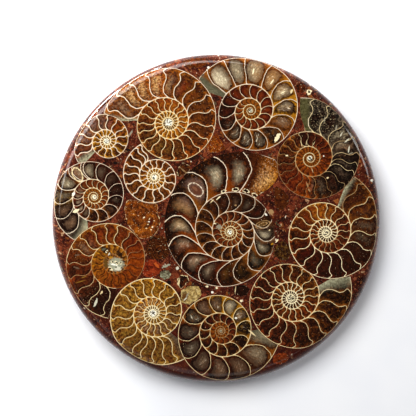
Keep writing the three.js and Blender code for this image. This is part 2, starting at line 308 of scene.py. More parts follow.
ammonite(
    "left", ROUND_SHELL,
    dict(centre=(-51.8, 9.1), mouth=240, infill=14, lip=6, septa_per_turn=16, corners=2.8,
         eye=(0.6, CREAM, 0.35), sediment=(0.038, SEDIMENT), cut_by=("small_inner", "lower_left"),
         wall=(19.9, 16.8, 14.1, 11.9, 10, 8.4, 7, 5.9, 5),
         septa=(240, 216, 192, 167, 138, 133, 116, 112, 86, 58.5, 31.5, 4.5, -23, -51, -77, -105)),
    band(0, TAUPE, UMBER, SMOKE, (0, 0.3, 1), septum=0.6, mottle=1.2, sparkle=1),
    band(-0.1, TAUPE, UMBER, CHOCOLATE, septum=0.5, mottle=1.4, sparkle=0.5),
    band(-0.16, SMOKE, UMBER, KHAKI, (0.05, 0.3, 1.2), mottle=1.6),
    band(-0.21, GREY, UMBER, BROWN, (0.02, 0.25, 1.1), septum=0.7, mottle=1, shine=0.5),
    band(-0.27, GREY, UMBER, AMBER),
    band(-0.31, TAUPE, CHESTNUT, RUST, (0, 0.1, 0.4), septum=0.6, mottle=1.4, shine=0, sparkle=1),
    band(-0.39, GREY, UMBER, BROWN, (0.02, 0.25, 1), mottle=1, sparkle=0.5),
    band(-0.46, SMOKE, CHOCOLATE, MAROON, (0, 0.3, 1.4), septum=0.45),
    band(-0.6, CHOCOLATE, UMBER, MAROON, (0, 0.3, 1.3), septum=0.4),
    band(-0.7, SMOKE, UMBER, MAROON, (0, 0.5, 1.4)),
    band(-0.8, CHOCOLATE, UMBER, AMBER, (0.1, 0.3, 1.4), septum=0.45),
    band(-0.95, septum=0.5),
    band(-1.05, GREY, CHOCOLATE, RUST, (0.1, 0.5, 1.1), septum=0.45, shine=0.7),
    band(-1.3, BROWN, MAROON, RUST, (0.08, 0.2, 0.8), line=IVORY, septum=0.4, wall=0.7, shine=0),
    band(-1.9, RUST, MAROON, AMBER, septum=0.35),
    band(-2.3, AMBER, BROWN, AMBER, septum=0.15),
    marks=(
        oval(-58.8, 18.6, IVORY, 3.1, 1.9, -60), patch(-60.4, 10.4, WHITE, 1, 0.6, 50),
        patch(-59.3, 3.2, CREAM, 1.4, 0.7, 25), oval(-51.4, 9, WHITE, 0.6, 0.6),
    ),
)
ammonite(
    "lower_left", WAVY_SHELL,
    dict(centre=(-43.7, -18.5), mouth=261, infill=16, lip=2, septa_per_turn=18, corners=4,
         eye=(0, SILVER, 0), sediment=(0.044, CHOCOLATE), cut_by=("golden",),
         wall=(23.8, 19.5, 16, 13.2, 10.8, 8.9, 7.3, 6, 4.9),
         septa=(261, 241, 222, 202, 183, 163, 144, 124, 103, 84, 61, 42, 24, 10, -10, -30, -50, -70,
                -90)),
    band(0, UMBER, UMBER, CHOCOLATE, line=IVORY, septum=0.55, sparkle=0.8),
    band(-0.06, CHOCOLATE, UMBER, CHESTNUT, sparkle=1.6),
    band(-0.14, CHESTNUT, CHOCOLATE, RUST, line=TAN, septum=0.5),
    band(-0.2, CHOCOLATE, CHOCOLATE, RUST, mottle=0.8, sparkle=0.5),
    band(-0.25, BROWN, CHESTNUT, RUST, line=IVORY, mottle=1.2, sparkle=1.2),
    band(-0.3, TAUPE, CHESTNUT, AMBER, mottle=0.9, sparkle=0.5),
    band(-0.37, RUST, MAROON, AMBER),
    band(-0.5, RUST, CHESTNUT, AMBER, mottle=0.8),
    band(-0.6, RUST, MAROON, RUST, line=TAN, septum=0.4, mottle=0.7, sparkle=0.1),
    band(-0.72, ORANGE, RUST, ORANGE, septum=0.15, mottle=0.6, sparkle=0),
    band(-0.85, ORANGE, CHESTNUT, RUST, line=AMBER, septum=0.3, mottle=0.7),
    band(-1.05, AMBER, CHESTNUT, ORANGE, wall=0.8, mottle=0.8, sparkle=0.5),
    band(-1.3, AMBER, BROWN, GOLD, mottle=1),
    band(-1.8, OLIVE, BROWN, AMBER, line=TAN, wall=0.4),
    marks=(
        patch(-47.1, -13.4, UMBER, 1.9, 1.3, -30), patch(-45.4, -15.2, SILVER, 0.6, 0.3, 60),
        # crystal(): small hollows whose dark patch is painted shade, with a pale edge
        patch(-47.6, -13.1, MOSS, 1, 0.5, 20), *crystal(-46.3, -14, 0.5, 0.3, 50),
        patch(-40.9, -15.2, UMBER, 1.8, 0.9, -50), patch(-44.6, -16.6, GOLD, 0.9, 0.5),
        patch(-46.7, -19, OLIVE, 2.2, 0.9, 100), patch(-42.3, -19.6, SEDIMENT, 3.2, 2.8),
        patch(-43.4, -19.6, WHITE, 1.4, 0.35, -15), patch(-41.6, -21.3, SILVER, 1.5, 0.8, 10),
        *crystal(-43.9, -18.5, 0.6, 0.4, -20), *crystal(-42, -18.9, 0.9, 0.4, -40),
        *crystal(-40.5, -18.9, 0.6, 0.45, 10), *crystal(-44.8, -21.3, 0.9, 0.4, -30),
        patch(-42.4, -20.7, UMBER, 0.35), patch(-40, -20.9, SMOKE, 0.5, 0.3, 30),
        patch(-48.5, -31.4, IVORY, 0.8, 0.4, 60), patch(-51, -35.8, SILVER, 2, 0.5, 70),
        patch(-57.5, -26.8, KHAKI, 1.8, 0.2, 15), patch(-59.1, -21, TAUPE, 1.2, 0.4, -20),
        patch(-58.8, -15.6, TAUPE, 1.1, 0.3, 10), patch(-56, -24.9, KHAKI, 1.2, 0.2, 20),
    ),
)
ammonite(
    "golden", WAVY_SHELL,
    dict(centre=(-26.7, -40.2), mouth=298, infill=14, lip=2, septa_per_turn=18, eye=(1.3, WHITE, 0.2),
         slot="golden_shell", sediment=(0.038, SMOKE), cut_by=("bottom",),
         wall=(23.3, 19.2, 15.7, 12.9, 10.6, 8.7, 7.2, 5.9, 4.8),
         septa=(298, 285, 271, 255, 243, 225, 207, 189, 169.5, 150, 130, 111, 90, 67, 43.5, 21, -2, -24,
                -45)),
    band(0, OLIVE, BROWN, KHAKI, line=IVORY, septum=0.65, rim=0.8, mottle=1.2),
    band(-0.15, septum=0.7, mottle=1.4),
    band(-0.4, KHAKI, BROWN, KHAKI, mottle=1.8),
    band(-0.6, KHAKI, BROWN, GOLD),
    band(-0.75, OLIVE, CHESTNUT, KHAKI, septum=0.65, mottle=1.6),
    band(-1, TAUPE, BROWN, KHAKI, septum=0.6, rim=0.5, mottle=1.4),
    band(-1.5, TAN, RUST, GOLD, septum=0.55, mottle=1.5),
    band(-1.9, KHAKI, BROWN, KHAKI, septum=0.7, mottle=1.2),
    band(-2.4, OLIVE, BROWN, KHAKI, line=CREAM, septum=1.1, mottle=1),
    band(-2.8, BROWN, BROWN, OLIVE, septum=1.5),
    marks=(patch(-26.6, -40.3, UMBER, 1, 0.25, -40),),
)
ammonite(
    "bottom", ROUND_SHELL,
    dict(centre=(2.1, -47.8), mouth=340, infill=20, lip=4, septa_per_turn=13, corners=2.5,
         eye=(0.5, GREY, 0.25), sediment=(0.056, MOSS), cut_by=("lower_right",),
         wall=(24.6, 20.7, 17.4, 14.6, 12.3, 10.4, 8.7, 7.3, 6.2),
         septa=(340, 310, 282, 253, 223.5, 196.5, 166.5, 139.5, 112.5, 85.5, 54, 24, -10.5, -41, -72)),
    band(0, GREY, CHOCOLATE, AMBER, (0, 0.1, 1), line=IVORY, septum=0.6, mottle=1.4, shine=0.5),
    band(-0.08, TAUPE, CHOCOLATE, BROWN, (0, 0.15, 1.1), septum=0.55, mottle=1),
    band(-0.2, TAUPE, UMBER, RUST, (0, 0.2, 1.1), septum=0.5, shine=0.4),
    band(-0.36, SMOKE, UMBER, MAROON, (0, 0.2, 1), shine=0.6),
    band(-0.45, SMOKE, UMBER, RUST, (0, 0.2, 1.2), shine=0.2),
    band(-0.52, SMOKE, BLACK, AMBER, (0.05, 0.2, 1.1), shine=1.4),
    band(-0.6, TAUPE, CHOCOLATE, AMBER, (0.05, 0.2, 1.2), shine=0.5),
    band(-0.68, TAUPE, UMBER, GOLD, (0.08, 0.15, 1.1), shine=1.4),
    band(-0.76, GREY, UMBER, GOLD, (0.08, 0.15, 0.9), shine=0.5),
    band(-0.84, TAUPE, BLACK, GOLD, (0.05, 0.15, 1), shine=1.4),
    band(-0.92, UMBER, BLACK, GOLD, (0, 0.2, 1), shine=0.3),
    band(-1.05, UMBER, UMBER, AMBER, (0.05, 0.3, 1.2), septum=0.45, shine=0),
    band(-1.3, MAROON, UMBER, AMBER, (0, 0.3, 1.2)),
    band(-1.9, MAROON, UMBER, RUST, (0.05, 0.3, 1), line=TAN, septum=0.35, wall=0.8),
    band(-2.3, RUST, CHESTNUT, AMBER, (0.08, 0.2, 0.8), septum=0.15, wall=0.6),
    marks=(
        oval(2.3, -47.9, TAN, 1.5, 1.3, 0, 0.2), patch(15.3, -48.6, IVORY, 1.9, 0.35, -40),
        patch(8.5, -42.3, WHITE, 0.6, 0.4),
    ),
)
ammonite(
    "lower_right", WAVY_SHELL,
    dict(centre=(31.8, -33.8), mouth=9, infill=15, lip=2, septa_per_turn=18, eye=(1.4, CREAM, 0.3),
         sediment=(0.042, SEDIMENT), cut_by=("right",),
         wall=(26.1, 21.6, 17.8, 14.7, 12.1, 10, 8.3, 6.8, 5.6),
         septa=(9, -7.5, -27, -45, -63, -84, -102, -120, -139.5, -159, -178.5, -196.5, -214.5, -232.5,
                -250.5, -270, -291, -315, -334.5)),
    band(0, UMBER, BLACK, BROWN, line=IVORY, septum=0.6),
    band(-0.06, CHOCOLATE, UMBER, AMBER, sparkle=0.6),
    band(-0.3, CHOCOLATE, UMBER, RUST, septum=0.55, mottle=1.1, sparkle=0.5),
    band(-0.55, mottle=1, sparkle=0.8),
    band(-0.68, CHESTNUT, UMBER, RUST, mottle=1.2),
    band(-0.85, CHESTNUT, UMBER, AMBER, sparkle=0.5),
    band(-1, BROWN, UMBER, AMBER, septum=0.5, mottle=0.9),
    band(-1.1, RUST, UMBER, ORANGE, mottle=0.8),
    band(-1.5, CHESTNUT, UMBER, AMBER, mottle=1),
    band(-1.9, BROWN, CHOCOLATE, AMBER, line=CREAM, septum=0.7),
    band(-2.3, UMBER, UMBER, BROWN, septum=0.95),
    marks=(
        patch(32.6, -34, BLACK, 0.7, 0.4, 20), patch(31, -33.4, BLACK, 0.25),
    ),
)
ammonite(
    "right", WAVY_SHELL,
    dict(centre=(46.7, -6.2), mouth=60, infill=7, lip=1, septa_per_turn=18, eye=(1.2, CREAM, 0.35),
         sediment=(0.02, SEDIMENT), cut_by=("upper_right",),
         wall=(26.6, 21.8, 18.1, 14.8, 12, 9.6, 7.8, 6.4, 5.4),
         septa=(57, 40.5, 21, 0, -21, -42, -63, -82.5, -102, -124.5, -147, -168, -187.5, -208.5, -229.5,
                -247.5, -270, -290, -313.5)),
    band(0, CHOCOLATE, UMBER, BROWN, line=TAN, septum=0.5, mottle=1.3, sparkle=1.4),
    band(-0.07, CHESTNUT, CHOCOLATE, AMBER, line=IVORY, septum=0.6, mottle=0.7, sparkle=0.5),
    band(-0.16, SMOKE, CHOCOLATE, BROWN, mottle=1, sparkle=1.2),
    band(-0.25, CHOCOLATE, UMBER, CHESTNUT, line=CREAM, septum=0.65, rim=0.4, mottle=0.8, sparkle=0.5),
    band(-0.42, CHOCOLATE, UMBER, MAROON, mottle=0.7),
    band(-0.55, MAROON, UMBER, RUST, septum=0.6, rim=0.6, mottle=0.6),
    band(-0.66, CHESTNUT, UMBER, ORANGE, line=IVORY, septum=0.55, rim=0.7),
    band(-0.78, RUST, CHESTNUT, AMBER),
    band(-0.86, AMBER, RUST, GOLD, mottle=0.9),
    band(-0.93, AMBER, CHESTNUT, AMBER, mottle=1.2),
    band(-1.05, CHESTNUT, UMBER, RUST, septum=0.5, rim=0.5, mottle=1),
    band(-1.3, CHESTNUT, CHOCOLATE, RUST, line=TAN, septum=0.4, mottle=0.7, sparkle=0.2),
    band(-1.7, CHESTNUT, CHOCOLATE, ORANGE, line=IVORY, septum=0.5, mottle=0.8, sparkle=0.5),
    band(-2, CHOCOLATE, UMBER, AMBER, line=CREAM, septum=0.7, wall=0.9, mottle=1),
    band(-2.3, UMBER, UMBER, BROWN, septum=1),
)
ammonite(
    "upper_right", WAVY_SHELL,
    dict(centre=(39.9, 25.4), mouth=92, infill=7, lip=3, septa_per_turn=19, corners=4,
         eye=(1, MOSS, 0.4), slot="dark_shell", sediment=(0, MUD), cut_by=("top",),
         wall=(25.7, 21, 17.1, 14, 11.4, 9.3, 7.6, 6.2, 5.1),
         septa=(88, 70, 47, 28, 7.5, -4.5, -15, -36, -57, -81, -95, -113, -132, -150, -168),
         leans=((0, 0, 3, 1, 1), (1, -1, 5, 1, 1), (2, -1, 2, 1, 1))),
    band(-0.012, UMBER, BLACK, SMOKE, line=IVORY, septum=0.5, wall=0.6, rim=0.2, mottle=2, sparkle=2),
    band(-0.1, sparkle=2.4),
    band(-0.16, GREY, UMBER, SMOKE, line=TAN, mottle=1.4, sparkle=1.2),
    band(-0.21, TAUPE, UMBER, SMOKE, line=IVORY, septum=0.6, mottle=0.9, sparkle=0.5),
    band(-0.25, UMBER, BLACK, UMBER, line=TAN, septum=0.45, wall=0.75, mottle=1.2),
    band(-0.29, SMOKE, BLACK, UMBER, line=IVORY, septum=0.4, mottle=1.4),
    band(-0.38, CHOCOLATE, BLACK, UMBER, line=TAN, septum=0.3, mottle=1.2),
    band(-0.47, SMOKE, UMBER, BROWN, mottle=1.5, sparkle=1.5),
    band(-0.52, RUST, CHESTNUT, ORANGE, mottle=1.3, sparkle=1),
    band(-0.6, RUST, MAROON, RUST, septum=0.25, rim=0.3, mottle=0.9, sparkle=0.5),
    band(-0.75, CHESTNUT, CHOCOLATE, BROWN, septum=0.3, wall=0.6, mottle=1.3, sparkle=1),
    band(-0.88, CHESTNUT, CHOCOLATE, AMBER, septum=0.35),
    band(-0.95, CHOCOLATE, UMBER, CHOCOLATE, line=IVORY, septum=0.3, rim=0.5, mottle=0.8, sparkle=0.5),
    band(-1.1, MAROON, CHOCOLATE, RUST, line=TAN, septum=0.15, mottle=0.7),
    band(-1.4, RUST, CHESTNUT, ORANGE, septum=0.1, sparkle=0),
    band(-1.9, RUST, CHESTNUT, AMBER, line=IVORY, septum=0, wall=0.7),
    band(-2.6, RUST, BROWN, AMBER, wall=0.9),
    marks=(
        patch(45.7, 26.5, WHITE, 0.35), patch(56.3, 29.2, SILVER, 1.4, 0.3, 80),
        patch(57.3, 27.6, GREY, 1, 0.3, 20), patch(38.7, 14.3, TAN, 1.2, 0.3, -70),
        patch(39.5, 11.9, TAN, 0.8, 0.3, -60), patch(30, 26.6, CREAM, 0.5, 0.35),
        patch(47.3, 17.2, IVORY, 0.5, 0.35, 40), oval(39.8, 25.7, WHITE, 0.7, 0.6, 0, 0.3),
        patch(55.5, 33, SILVER, 1.4, 0.3, 40), patch(53, 35.5, SILVER, 1, 0.25, 60),
        patch(51, 38.5, GREY, 1.3, 0.35, 75), patch(46, 42, GREY, 1.2, 0.3, 80),
        patch(40.8, 20.5, IVORY, 1, 0.12, -70), patch(38.3, 32, IVORY, 1.2, 0.14, 80),
        patch(36.2, 31.6, IVORY, 1.2, 0.14, 105), patch(41.5, 31.8, IVORY, 0.8, 0.12, 60),
    ),
)
ammonite(
    "centre", ROUND_SHELL,
    dict(bend=DEEP_ARC, inner_bend=0.6, soft=0.3, glow=0.8, crisp=0.1, centre=(5.9, -5.8), coil=-1,
         mouth=71, infill=17, lip=6, septa_per_turn=15.7, corners=2.5, eye=(0.9, WHITE, 0),
         cut_by=("top", "upper_right", "lower_right"),
         wall=(35.1, 28.6, 24, 19.5, 17.4, 15.1, 12.6, 10.6, 9),
         septa=(71.5, 92.7, 116, 138.7, 162, 184, 207.7, 230.7, 253.3, 274.5, 299, 323, 345, 367, 385,
                406, 429, 451, 475, 496),
         leans=((0, 0, 0, 0.3, 1), (1, 0, 0, 0.3, 1), (2, 0, 0, 0.65, 1), (3, 0, 0, 0.6, 1))),
    band(0.047, GOLD, AMBER, CHESTNUT, (0.1, 0.2, 1.2), septum=0, rim=0.3, mottle=3, sparkle=1.6,
         shade=0.3),
    band(0.022, IVORY, AMBER, CHESTNUT, (0.1, 0.3, 1.7), mottle=3.4, sparkle=3.2, shade=0.4),
    band(0.004, RUST, CHESTNUT, CHOCOLATE, (0.1, 0.25, 0.9), septum=0.85, rim=0, mottle=2.2, sparkle=0.5,
         shade=0.6),
    band(-0.01, GREY, CHOCOLATE, ORANGE, (-0.2, 0.3, 1.05), mottle=1, shine=0.7, shade=1),
    band(-0.1, GREY, UMBER, ORANGE, (-0.2, 0.25, 1), shine=0.6),
    band(-0.14, MAUVE, UMBER, AMBER, (-0.2, 0.1, 0.5), shine=0),
    band(-0.2, fill=(-0.2, 0.1, 0.6)),
    band(-0.24, TAN, UMBER, RUST, (-0.2, 0.2, 0.9)),
    band(-0.31, GREY, UMBER, ORANGE, (-0.2, 0.25, 1), shine=0.7),
    band(-0.37, RUST, UMBER, ORANGE, (-0.2, 0.2, 1), septum=0.8, rim=0.2, shine=0.4),
    band(-0.44, GREY, UMBER, RUST, (-0.1, 0.25, 1), septum=0.75, rim=0.4, shade=0.8),
    band(-0.5, CHESTNUT, UMBER, RUST, (-0.1, 0.2, 1.1), septum=0.6, rim=0.5, shine=0, shade=0.6),
    band(-0.56, OLIVE, UMBER, BROWN, (0, 0.3, 1.3), mottle=1.5, sparkle=0.8, shade=0),
    band(-0.63, UMBER, BLACK, AMBER, (0.05, 0.3, 1.3), rim=0.4, mottle=1, sparkle=0.5),
    band(-0.7, GREY, BLACK, AMBER, (0.02, 0.3, 1.1), rim=0.2, shine=0.3),
    band(-0.8, GREY, UMBER, TAUPE, (-0.1, 0.2, 1), septum=0.5, rim=0, shine=0.6),
    band(-0.84, OLIVE, UMBER, BROWN, (0, 0.2, 0.9), shine=0),
    band(-0.9, MAROON, UMBER, CHESTNUT, (0, 0.3, 1.2), rim=0.2),
    band(-0.97, SMOKE, UMBER, BROWN, septum=0.4, wall=0.6, rim=0.5),
    band(-1.1, CHESTNUT, UMBER, BROWN, sparkle=0.8),
    band(-1.25, CHOCOLATE, UMBER, AMBER, (0.05, 0.3, 1.2), sparkle=0.5),
    band(-1.4),
    band(-1.75, CHESTNUT, UMBER, AMBER, (0, 0.3, 1.2), wall=0.7),
    band(-2.2, RUST, CHOCOLATE, RUST, line=TAN, wall=0.8),
    band(-2.8, RUST, CHESTNUT, AMBER, (0.08, 0.2, 0.8), line=IVORY, septum=0.35),
    marks=(
        oval(-8.6, 12.2, PEARL, 3.5, 2.3, -39, 0.35), patch(-8.4, 12, srgb("#5e3826"), 2.6, 1.5, -39),
        # crystal(): small hollows whose dark patch is painted shade, with a pale edge
        patch(-8.9, 12.6, srgb("#7c5640"), 1.4, 0.6, -39), *crystal(3.2, 11.4, 1, 0.6, 30),
        *crystal(8.3, 12.3, 1.2, 0.7, 5), *crystal(12.7, 11.7, 1.3, 0.7, -15),
        *crystal(16.5, 9.7, 1.3, 0.7, -35), *crystal(19.4, 10.4, 0.9, 0.5, 35),
        *crystal(19.1, 7.9, 1, 0.6, -40), patch(21.2, 1.7, WHITE, 0.7, 0.4, -50),
        patch(1.2, -3.6, GREY, 1.3, 0.9, 20), patch(-0.4, -2.2, CREAM, 0.5, 0.3),
        patch(8.2, 5.5, TAN, 0.5, 0.35), oval(19.8, -2.6, TAN, 3, 1.5, 17, 0.25),
        oval(20, -2.5, TAN, 1.8, 0.6, 17, 0.2), patch(23.9, -10.8, GOLD, 0.7, 0.4, 30),
        patch(22.7, -5, IVORY, 0.3), patch(1, 8.6, CREAM, 1.2, 0.3, 40),
        patch(-1.8, 7.2, IVORY, 0.9, 0.25, 50),
    ),
)

# ---- outlines ----


def smooth_between(a, b, c, d, along):
    """The point between b and c on a smooth curve through four points."""
    square = 2 * a - 5 * b + 4 * c - d
    cubic = 3 * (b - c) - a + d
    return b + 0.5 * along * (c - a + along * (square + along * cubic))


def through_values(values, position):
    """Smooth curve through equally spaced values."""
    before, after = 2 * values[0] - values[1], 2 * values[-1] - values[-2]
    padded = np.concatenate(([before], values, [after]))
    first = np.clip(np.floor(position).astype(int), 0, len(values) - 2)
    return smooth_between(*(padded[first + k] for k in range(4)), position - first)


def wall_radius(shell, turns):
    """A shell grows by the same factor in equal turns, so its wall is smooth in the logarithm."""
    logs = np.log(shell["wall"])
    last = len(logs) - 1
    quarters = -4 * np.asarray(turns, float)
    newest_growth = logs[0] - logs[1]
    oldest_growth = (logs[last - 4] - logs[last]) / 4
    known = through_values(logs, np.clip(quarters, 0, last))
    newer = newest_growth * np.maximum(-quarters, 0)
    older = oldest_growth * np.maximum(quarters - last, 0)
    return np.exp(known + newer - older)


def coil_angle(shell, turns, extra_degrees=0.0):
    return np.radians(shell["mouth"] + shell["coil"] * (360 * turns + extra_degrees))


def around(centre, angle, radius):
    """Points at an angle and distance from a centre."""
    return np.stack((centre[0] + radius * np.cos(angle), centre[1] + radius * np.sin(angle)), -1)


def face_drop(points):
    """How far the polished surface lies below the plate's flat face."""
    beyond = np.hypot(points[..., 0], points[..., 1]) - (PLATE_RADIUS - SHOULDER)
    beyond = np.clip(beyond, 0, SHOULDER)
    return SHOULDER - np.sqrt(SHOULDER**2 - beyond**2)


def on_surface(shell, angle, radius):
    """Where the surface dips, it meets a narrower part of the shell: distance found by halving."""
    depths, scales = np.array(shell["form"], float).T
    low, high = np.zeros_like(radius), radius.copy()
    for _ in range(HALVINGS):
        middle = (low + high) / 2
        depth = face_drop(around(shell["centre"], angle, middle))
        short = middle < radius * np.interp(depth / shell["wall"][0], depths, scales)
        low = np.where(short, middle, low)
        high = np.where(short, high, middle)
    return high


def ray_to_edge(centre, angle):
    """Distance along each ray to the circle that limits the fossils."""
    cx, cy = centre
    along = cx * np.cos(angle) + cy * np.sin(angle)
    return np.sqrt(along**2 + FOSSIL_LIMIT**2 - cx**2 - cy**2) - along


def ray_to_outline(centre, angle, outline):
    """Distance along each ray to the first crossing of a closed outline."""
    start = outline - np.asarray(centre)
    edge = np.roll(start, -1, axis=0) - start
    flat = angle.reshape(-1, 1)
    dx, dy = np.cos(flat), np.sin(flat)
    cross = dx * edge[:, 1] - dy * edge[:, 0]
    cross = np.where(np.abs(cross) < NEXT_TO_NOTHING, NEXT_TO_NOTHING, cross)
    distance = (start[:, 0] * edge[:, 1] - start[:, 1] * edge[:, 0]) / cross
    share = (start[:, 0] * dy - start[:, 1] * dx) / cross
    met = (share >= 0) & (share <= 1) & (distance > 0)
    return np.where(met, distance, np.inf).min(axis=1).reshape(angle.shape)


def counter_clockwise(points):
    ahead = np.roll(points, -1, axis=0)
    area = np.sum(points[:, 0] * ahead[:, 1] - points[:, 1] * ahead[:, 0])
    return points if area > 0 else points[::-1]


def grown(outline, distance):
    """A counter-clockwise outline moved outwards."""
    ahead = np.roll(outline, -1, axis=0) - outline
    ahead /= np.maximum(np.hypot(*ahead.T), TINY)[:, None]
    middle = ahead + np.roll(ahead, 1, axis=0)
    middle /= np.maximum(np.hypot(*middle.T), TINY)[:, None]
    return outline + distance * np.column_stack((middle[:, 1], -middle[:, 0]))


def uncut_outline(shell):
    opening = shell["infill"] / 360
    turns = opening - np.arange(STEPS_PER_WHORL) / STEPS_PER_WHORL
    across = np.arange(STEPS_ACROSS) / STEPS_ACROSS
    inner, outer = wall_radius(shell, opening - 1), wall_radius(shell, opening)
    lip_angle = coil_angle(shell, opening, shell["lip"] * np.sin(np.pi * across))
    angle = np.concatenate((coil_angle(shell, turns), lip_angle))
    radius = np.concatenate((wall_radius(shell, turns), inner + (outer - inner) * across))
    return counter_clockwise(around(shell["centre"], angle, on_surface(shell, angle, radius)))


OUTLINES = {name: grown(uncut_outline(shell), CUT_GAP) for name, shell in AMMONITES.items()}


def reach(centre, angle, cutters):
    """How far a fossil can reach along each ray before the edge or a neighbour cuts it."""
    nearest = ray_to_edge(centre, angle)
    for name in cutters:
        nearest = np.minimum(nearest, ray_to_outline(centre, angle, OUTLINES[name]))
    return nearest


# ---- meshes ----


def lifted(points, depth):
    """Adds the height of a depth below the flat face."""
    return np.column_stack((points, np.broadcast_to(PLATE_THICKNESS - depth, len(points))))


def rings_below(loop, centre, form, gap=0.0):
    """The outlines of a fossil's body below its top loop, or of the pocket that holds it."""
    depths, scales = np.array(form, float).T
    top = grown(loop, gap) if gap else loop
    drop = face_drop(top)
    extra = POCKET_DROP if gap else 0.0
    rings = [lifted(top, drop)]
    for number, depth in enumerate(depths[1:], start=1):
        level = np.maximum(depth + extra, drop + RING_STEP * number)
        scale = np.interp(level, depths, scales) / np.interp(drop, depths, scales)
        ring = np.asarray(centre) + (top - centre) * scale[:, None]
        rings.append(lifted(ring, level))
    return rings


def pocket_below(loop, centre, form):
    """The rings of a fossil's pocket. Points that fall on the one before are left out."""
    step = np.hypot(*(loop - np.roll(loop, 1, axis=0)).T)
    return rings_below(loop[step > CLOSEST_POINTS], centre, form, SEAM)


def bridge(upper, lower):
    """Quads between two loops of indices that run counter-clockwise, seen from above."""
    ahead = zip(upper, lower, [*lower[1:], lower[0]], [*upper[1:], upper[0]])
    return [tuple(quad) for quad in ahead]


def closed_below(loop, middle):
    """Triangles from a loop of indices to a point below it."""
    return [(after, index, middle) for index, after in zip(loop, [*loop[1:], loop[0]])]


def finished_mesh(name, points, faces, materials, looks, corners=None):
    """A closed mesh from millimetres, with a material number for each face and, where given,
    values for each corner of the first faces."""
    mesh = bpy.data.meshes.new(name)
    mesh.from_pydata((np.concatenate(points) * MM).tolist(), [], faces)
    for material in materials:
        mesh.materials.append(material)
    mesh.polygons.foreach_set("material_index", looks)
    for label, values in (corners or {}).items():
        painted = values.shape[1] == 4
        kind, part = ("FLOAT_COLOR", "color") if painted else ("FLOAT_VECTOR", "vector")
        layer = mesh.attributes.new(label, kind, "CORNER")
        full = np.zeros((len(mesh.loops), values.shape[1]), np.float32)
        full[: len(values)] = values
        layer.data.foreach_set(part, full.ravel())
    shape = bmesh.new()
    shape.from_mesh(mesh)
    bmesh.ops.remove_doubles(shape, verts=shape.verts, dist=SAME_PLACE)
    bmesh.ops.dissolve_degenerate(shape, edges=shape.edges, dist=SAME_PLACE)
    for face in shape.faces:
        face.smooth = True
    for edge in shape.edges:
        same_look = len({face.material_index for face in edge.link_faces}) == 1
        edge.smooth = same_look and edge.calc_face_angle(0.0) < SHARP_ANGLE
    shape.to_mesh(mesh)
    shape.free()
    obj = bpy.data.objects.new(name, mesh)
    bpy.context.scene.collection.objects.link(obj)
    return obj


# ---- the pattern of a shell ----


def banded(shell, key, turns):
    """A value of the shell's bands at each point of the coil."""
    bands = shell["bands"]
    at = [item["turn"] for item in bands]
    values = np.array([item[key] for item in bands], float).reshape(len(bands), -1)
    return np.stack([np.interp(turns, at, column) for column in values.T], -1)


def septum_phase(shell, turns, across):
    """Counts the septa along the coil: 0 on the newest, one less on each older one."""
    bend = through_values(np.array(shell["bend"], float), (len(shell["bend"]) - 1) * across)
    septa = shell["coil"] * (np.array(shell["septa"], float) - shell["mouth"])
    kept = np.interp(septa, INNER_WHORL, (shell.get("inner_bend", 1), 1))
    kept, lean = np.stack((kept, kept)), np.zeros((2, len(septa)))
    for index, inner_lean, outer_lean, inner_bend, outer_bend in shell.get("leans", ()):
        lean[:, index] = inner_lean, outer_lean
        kept[:, index] = inner_bend, outer_bend
    numbers = -np.arange(len(septa))
    phase = np.empty(turns.shape)
    for column, share in enumerate(across):
        ends = lean[0] * max(0, 1 - 2 * share) ** 2 + lean[1] * max(0, 2 * share - 1) ** 2
        outward = min(1, max(0, 3 * share - 1))
        curl = kept[0] * (1 - outward) + kept[1] * outward
        at = (septa + bend[column] * curl + ends) / 360
        here = turns[:, column]
        known = np.interp(here, at[::-1], numbers[::-1])
        newer = np.clip((here - at[0]) * shell["septa_per_turn"], 0, LAST_CHAMBER)
        older = np.minimum(here - at[-1], 0) * shell["septa_per_turn"]
        phase[:, column] = known + newer + older
    return phase


def spacing_of(points, phase):
    """Distance between neighbouring septa, measured square to them."""
    along, across = np.gradient(points, axis=0), np.gradient(points, axis=1)
    rise_along, rise_across = np.gradient(phase, axis=0), np.gradient(phase, axis=1)
    area = along[..., 0] * across[..., 1] - along[..., 1] * across[..., 0]
    area = np.where(np.abs(area) < TINY, TINY, area)
    x = (rise_along * across[..., 1] - rise_across * along[..., 1]) / area
    y = (rise_across * along[..., 0] - rise_along * across[..., 0]) / area
    return 1 / np.maximum(np.hypot(x, y), 1 / WIDEST_CHAMBER)


def pattern_of(shell, turns, across, points, inner, outer):
    """Everything that a shell's material reads, at each vertex of its grid."""
    share = np.broadcast_to(across, turns.shape)
    phase = septum_phase(shell, turns, across)
    height = np.broadcast_to((outer - inner)[:, None], turns.shape)
    radius = inner[:, None] + height * share
    septum, newer_wall, shade, rim = (
        banded(shell, key, turns)[..., 0] for key in ("septum", "wall", "shade", "rim")
    )
    older_wall = banded(shell, "wall", turns - 1)[..., 0]
    thin = LINE_GAIN * np.minimum(1, (height / FULL_LINE_HEIGHT) ** LINE_THINNING)
    septum = septum * thin / 2 - FADING * np.maximum(0, FAINT_SEPTUM - septum)
    rim = np.where(rim * LINE_GAIN < FAINT_RIM, NO_LINE, rim * LINE_GAIN)
    outermost = turns > shell["infill"] / 360 - 1 + 1e-6
    outer_line = np.where(outermost, rim, newer_wall * thin / 2)
    pattern = {
        "coil": np.stack((shade, share, phase), -1),
        "size": np.stack((height, spacing_of(points, phase), radius), -1),
        "widths": np.stack((septum, older_wall * thin / 2, outer_line), -1),
        "fill": banded(shell, "fill", turns),
        "grain": np.concatenate(
            [banded(shell, key, turns) for key in ("mottle", "shine", "sparkle")], -1
        ),
    }
    opaque = np.ones((*turns.shape, 1))
    for key in PAINTS:
        pattern[key] = np.concatenate((banded(shell, key, turns), opaque), -1)
    return pattern


